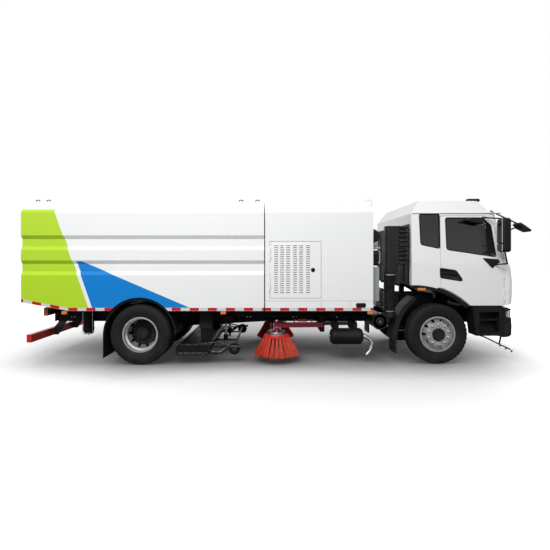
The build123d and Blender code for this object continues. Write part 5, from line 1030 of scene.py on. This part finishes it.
def front_point(names, y, z):
    """Where a line from ahead of the truck first meets some solids of the frame."""
    hits = [SKINS[name].ray_cast(Vector((6.0, y, z)), Vector((-1.0, 0.0, 0.0))) for name in names]
    return min((hit for hit in hits if hit[0] is not None), key=lambda hit: hit[3])[0]


edge = [front_point(FRONT, p.x, p.y) for p in rounded(SCREEN, 0.09, 8)]
spaced = []
for n, p in enumerate(edge):
    ahead = edge[(n + 1) % len(edge)]
    parts = max(1, round((ahead - p).length / SEAL_SPACING))
    spaced += [p.lerp(ahead, k / parts) for k in range(parts)]
edge = [front_point(FRONT, p.y, p.z) for p in spaced]
build("windscreen_seal", [bar(edge, 0.013, 8, closed=True)], SEAL_RUBBER, "cab", smooth=True)
WIPER_FOOT = ((CORE, 0.0), (0.024, 0.0), (0.020, 0.030), (CORE, 0.034))
wipers = []
for pivot_y in (-0.62, 0.20):
    blade = [front_point(FRONT, pivot_y + 0.04 + 0.68 * n / 12, 1.855 + 0.004 * n)
             + Vector((0.014, 0.0, 0.0)) for n in range(13)]
    foot = front_point(FRONT, pivot_y, 1.748)
    arm = (foot, foot + Vector((0.035, 0.02, 0.02)), blade[6] + Vector((0.016, 0.0, 0.0)))
    wipers += [bar(blade, 0.007, 8), bar(rounded(arm, 0.02, 4, False), 0.007, 8),
               turned(WIPER_FOOT, foot, "X", 24)]
build("wipers", wipers, MOULDED_BLACK, "cab", smooth=True)


def clear_polycarbonate():
    """Headlamp cover: clear polycarbonate over a pale reflector, faintly fluted every 20 mm."""
    made, tree, shader, place = fresh("clear_polycarbonate", Coat_Weight=1.0,
                                      Coat_Roughness=0.03, Metallic=0.4)
    flutes = add(tree, "TexWave", {"Vector": place, "Scale": 16.0}, bands_direction="Y")
    colour = add(tree, "Mix", {0: flutes, 6: tone("8f959a"), 7: tone("e4e8ea")}, data_type="RGBA")
    dress(tree, shader, colour, (flutes, 0.12, 0.25, 0.0, 1.0), (flutes, 0.15, 0.6))
    return made


def silvered_glass():
    """Mirror glass: silver seen through glass, nearly smooth, with light smears 60 mm across."""
    made, tree, shader, place = fresh("silvered_glass", Metallic=1.0)
    smear = add(tree, "TexNoise", {"Vector": place, "Scale": grains(60), "Detail": 4.0})
    colour = add(tree, "Mix", {0: smear, 6: tone("d4d9dc"), 7: tone("eef1f2")}, data_type="RGBA")
    dress(tree, shader, colour, (smear, 0.02, 0.09, 0.3, 0.8), (smear, 0.01, 0.1))
    return made


LENS = clear_polycarbonate()
SILVER = silvered_glass()
finish(LENS, "headlamps")
finish(MOULDED_BLACK, "front_bumper")
REFLECTOR = ((CORE, -0.02), (0.048, -0.02), (0.050, 0.004), (0.044, 0.006), (0.030, -0.004),
             (CORE, -0.006))
MIRROR_BACK_X = 3.611
MIRROR_BASE = rounded(((3.440, 1.790), (3.700, 1.770), (3.735, 1.725), (3.660, 1.680), (3.605, 1.615)),
                      0.012, 3)
SPRAY_ARM = ((3.420, 1.05, 0.480), (3.560, 1.05, 0.430), (3.780, 1.05, 0.320), (3.995, 1.05, 0.222))
JET = ((CORE, -0.03), (0.010, -0.03), (0.014, 0.0), (CORE, 0.0))
reflectors = []
sprays = []
tips = []
for word, side in SIDES:
    reflectors += [turned(REFLECTOR, front_point(("headlamps",), y * side, 0.862), "X", 32)
                   for y in (0.74, 0.90)]
    slit = [(x - 0.018, y * side) for x, y in CORNER_PLAN[2:]]
    slit += [(x - 0.05, y - 0.03 * side) for x, y in reversed(slit)]
    rings = [[Vector((x, y, z)) for x, y in slit] for z in (0.795, 0.903)]
    build(f"corner_lamp_{word}", [lofted(rings)], LENS, "chassis", smooth=True)
    panes = [block((MIRROR_BACK_X - 0.006, 1.310 * side, low), (MIRROR_BACK_X + 0.004, 1.460 * side, high),
                   0.003) for low, high in ((2.035, 2.415), (1.905, 2.015))]
    build(f"door_mirror_glass_{word}", panes, SILVER, f"cab_door_{word}")
    rings = [[Vector((p.x, y * side, p.y)) for p in MIRROR_BASE] for y in (1.152, 1.172)]
    build(f"mirror_base_{word}", [lofted(rings)], MOULDED_BLACK, f"cab_door_{word}")
    path = [Vector((x, y * side, z)) for x, y, z in SPRAY_ARM]
    sprays.append(bar(rounded(path, 0.03, 4, False), 0.011, 10))
    sprays.append(bar((path[2], path[2] + Vector((0.03, 0.0, 0.14))), 0.013, 10))
    sprays += [turned(JET, path[3] + Vector((-0.10 * k, 0.0, 0.05 * k - 0.01)), "Z", 16)
               for k in range(3)]
    tips.append(block((3.965, 1.035 * side, 0.222), (4.020, 1.065 * side, 0.238), 0.003))
build("headlamp_reflectors", reflectors, STEEL, "chassis", smooth=True)
build("front_spray_arms", sprays, CHASSIS_BLACK, "chassis", smooth=True)
build("front_spray_tips", tips, ALUMINIUM, "chassis")

# Cab inside
# The dashboard is slush-moulded grey vinyl. Each seat has a suspension base in a rubber boot
# and foam pads in woven polyester, stitched in channels, which swell between their seams.
PAD_VOXEL, PAD_EDGE, PAD_SWELL, CLOTH_STEPS = 0.009, 0.030, 0.014, 20
STITCH_REACH, STITCH_DEPTH = 0.016, 0.20
SEAT_Y = 0.560
# Low and high corners, lean, and the stitched channels, each an axis and a place on it.
PADS = (
    ("cushion", (2.800, SEAT_Y - 0.236, 1.636), (3.203, SEAT_Y + 0.236, 1.736), 0.0,
     ((1, SEAT_Y - 0.13), (1, SEAT_Y + 0.13), (0, 3.04))),
    ("backrest", (2.733, SEAT_Y - 0.236, 1.650), (2.822, SEAT_Y + 0.236, 2.120), -0.16,
     ((1, SEAT_Y - 0.13), (1, SEAT_Y + 0.13), (2, 1.86))),
    ("headrest", (2.650, SEAT_Y - 0.135, 2.165), (2.735, SEAT_Y + 0.135, 2.300), -0.10, ()),
)


def woven_polyester():
    """Seat cloth: dark grey plain weave. Threads are 0.8 mm apart, drawn at 5 mm to show."""
    made, tree, shader, place = fresh("woven_polyester", Sheen_Weight=0.3, Sheen_Roughness=0.5)
    threads = {"Vector": place, "Scale": 63.0, "Distortion": 1.0}
    warp = add(tree, "TexWave", threads, bands_direction="Y")
    weft = add(tree, "TexWave", threads, bands_direction="DIAGONAL")
    weave = add(tree, "Math", {0: warp, 1: weft}, operation="MAXIMUM")
    colour = add(tree, "Mix", {0: weave, 6: tone("24272c"), 7: tone("4a4f57")}, data_type="RGBA")
    dress(tree, shader, colour, (weave, 0.95, 0.8, 0.0, 1.0), (weave, 0.4, 1.0))
    return made


def settled(made):
    """Puts the mesh as its modifiers leave it in place of the old one."""
    shape = bpy.data.meshes.new_from_object(made.evaluated_get(bpy.context.evaluated_depsgraph_get()))
    made.modifiers.clear()
    made.data = shape


def foam_pad(name, low, high, lean, channels):
    """A foam pad: remeshed, blown up as cloth with its travel capped, stitched along channels."""
    made = build(name, [block(low, high, PAD_EDGE)], WEAVE, None)
    remesh = made.modifiers.new("remesh", "REMESH")
    remesh.mode = "VOXEL"
    remesh.voxel_size = PAD_VOXEL
    settled(made)
    home = [v.co.copy() for v in made.data.vertices]
    cloth = made.modifiers.new("cloth", "CLOTH")
    cloth.settings.use_pressure = True
    cloth.settings.uniform_pressure_force = 4.0
    cloth.settings.effector_weights.gravity = 0.0
    for step in range(1, CLOTH_STEPS + 1):
        bpy.context.scene.frame_set(step)
    settled(made)
    bpy.context.scene.frame_set(1)
    for v, at in zip(made.data.vertices, home):
        move = v.co - at
        v.co = at + move.normalized() * min(move.length, PAD_SWELL)
    soften = made.modifiers.new("soften", "SUBSURF")
    soften.levels = 1
    settled(made)
    middle = (Vector(low) + Vector(high)) / 2
    thin = 2 if high[2] - low[2] < high[0] - low[0] else 0
    for v in made.data.vertices:
        for axis, at in channels:
            near = abs(v.co[axis] - at) / STITCH_REACH
            if near < 1.0 and abs(v.co[thin] - middle[thin]) > (high[thin] - low[thin]) * 0.3:
                v.co[thin] += (middle[thin] - v.co[thin]) * STITCH_DEPTH * (1.0 - near) ** 2
        v.co.x += lean * (v.co.z - low[2])
    made.data.materials.clear()
    made.data.materials.append(WEAVE)
    made.data.shade_smooth()
    return made


WEAVE = woven_polyester()
finish(moulded_black("slush_moulded_vinyl", "3a3c3f", 0.0, (0.5, 0.65)), "cab_dashboard")
for label, low, high, lean, channels in PADS:
    pad = foam_pad(f"seat_{label}_left", low, high, lean, channels)
    other = pad.copy()
    other.name = f"seat_{label}_right"
    other.data = pad.data.copy()
    for v in other.data.vertices:
        v.co.y -= SEAT_Y * 2
    bpy.context.scene.collection.objects.link(other)
    for made in (pad, other):
        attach(made, "cab")
        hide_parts("cab_seats")
# Each fold of the boot is drawn in by 12 mm at every other height.
BOOT = [(0.0 if n % 2 else 0.012, 1.36 + 0.036 * n) for n in range(7)]
stands = []
for side in (1, -1):
    y = SEAT_Y * side
    rings = [[Vector((2.969 + dx * (0.125 - inset), y + dy * (0.175 - inset), z))
              for dx, dy in window(-1, -1, 1, 1)] for inset, z in BOOT]
    stands += [lofted(pair) for pair in zip(rings, rings[1:])]
    stands.append(block((2.85, y - 0.18, 1.330), (3.09, y + 0.18, 1.365)))
    stands.append(block((2.80, y - 0.20, 1.590), (3.18, y + 0.20, 1.640)))
    stands += [block((2.86, y + dy - 0.015, 1.240), (3.08, y + dy + 0.015, 1.335))
               for dy in (-0.13, 0.13)]
    stands += [bar(((2.655, y + dy, 2.10), (2.650, y + dy, 2.19)), 0.007, 8) for dy in (-0.06, 0.06)]
made = build("seat_stands", stands, MOULDED_BLACK, "cab")
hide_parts("cab_seats")

# Floor, light and camera
# A pale seamless floor that keeps the truck's shadow, deepened by a painted shadow, a white
# surround, two soft lamps, and the camera level with the driver's belt line, square to the truck's side.
FLOOR_REACH, FLOOR_SINK = 60.0, 0.002
SURROUND_LIGHT = 0.24
LAMPS = (("key", (-2.5, -10.5, 8.8), 9.0, 1470.0), ("fill", (9.0, 9.0, 4.5), 8.0, 950.0))
AIM = Vector((0.0, 0.0, 1.0))
floor_mesh = bpy.data.meshes.new("floor")
corners = [(x * FLOOR_REACH, y * FLOOR_REACH, 0.0) for x, y in window(-1, -1, 1, 1)]
floor_mesh.from_pydata(corners, [], [(0, 1, 2, 3)])
floor = bpy.data.objects.new("floor", floor_mesh)
bpy.context.scene.collection.objects.link(floor)
floor.location.z = -FLOOR_SINK
made, tree, shader, place = fresh("painted_studio_floor", Roughness=0.9, Specular_IOR_Level=0.1)
cloud = add(tree, "TexNoise", {"Vector": place, "Scale": grains(1500), "Detail": 3.0})
pale = add(tree, "Mix", {0: cloud, 6: tone("f4f4f4"), 7: tone("fafafa")}, data_type="RGBA")
# The floor's colour is darkened where the truck covers it, within 1.2 m: a painted shadow.
cover = add(tree, "AmbientOcclusion", {"Distance": 1.2}, samples=16)
under = add(tree, "Math", {0: cover.outputs["AO"], 1: 1.8}, operation="POWER")
painted_shadow_floor = add(tree, "Mix", {0: under, 6: tone("202020"), 7: pale}, data_type="RGBA")
# What bounces back on the truck is that of a mid grey floor, so that its underside stays dark.
seen = add(tree, "LightPath").outputs["Is Camera Ray"]
colour = add(tree, "Mix", {0: seen, 6: tone("747474"), 7: painted_shadow_floor}, data_type="RGBA")
tree.links.new(outlet(colour), shader.inputs["Base Color"])
away = add(tree, "VectorMath", {0: place}, operation="LENGTH").outputs["Value"]
far = add(tree, "MapRange", {0: away, 1: 2.0, 2: 9.0, 3: 0.03, 4: 0.9},
          interpolation_type="SMOOTHSTEP")
lift = add(tree, "Math", {0: seen, 1: far}, operation="MULTIPLY")
tree.links.new(outlet(lift), shader.inputs["Emission Strength"])
shader.inputs["Emission Color"].default_value = (1.0, 1.0, 1.0, 1.0)
floor_mesh.materials.append(made)
world = bpy.data.worlds.new("white_surround")
world.use_nodes = True
tree = world.node_tree
rays = add(tree, "LightPath")
seen = rays.outputs["Is Camera Ray"]
for ray in ("Is Glossy Ray", "Is Transmission Ray"):
    seen = add(tree, "Math", {0: seen, 1: rays.outputs[ray]}, operation="MAXIMUM").outputs[0]
strength = add(tree, "MapRange", {0: seen, 1: 0.0, 2: 1.0, 3: SURROUND_LIGHT, 4: 1.0})
tree.links.new(outlet(strength), tree.nodes["Background"].inputs["Strength"])
tree.nodes["Background"].inputs["Color"].default_value = (1.0, 1.0, 1.0, 1.0)
bpy.context.scene.world = world
for name, place, size, power in LAMPS:
    lamp = bpy.data.lights.new(name, "AREA")
    lamp.shape = "RECTANGLE"
    lamp.size = size
    lamp.size_y = size * 0.6
    lamp.energy = power
    made = bpy.data.objects.new(name, lamp)
    bpy.context.scene.collection.objects.link(made)
    made.location = place
    made.rotation_euler = (AIM - Vector(place)).to_track_quat("-Z", "Y").to_euler()
lens = bpy.data.cameras.new("camera")
camera = bpy.data.objects.new("camera", lens)
bpy.context.scene.collection.objects.link(camera)
camera.location = (-0.129, -8.250, 1.790)
camera.rotation_euler = (math.radians(90.0), 0.0, 0.0)
lens.sensor_width = 36.0
lens.lens = 27.62
lens.shift_x = 0.0091
lens.shift_y = -0.0309
lens.clip_end = 200.0
bpy.context.scene.camera = camera
bpy.context.scene.view_settings.view_transform = "Standard"
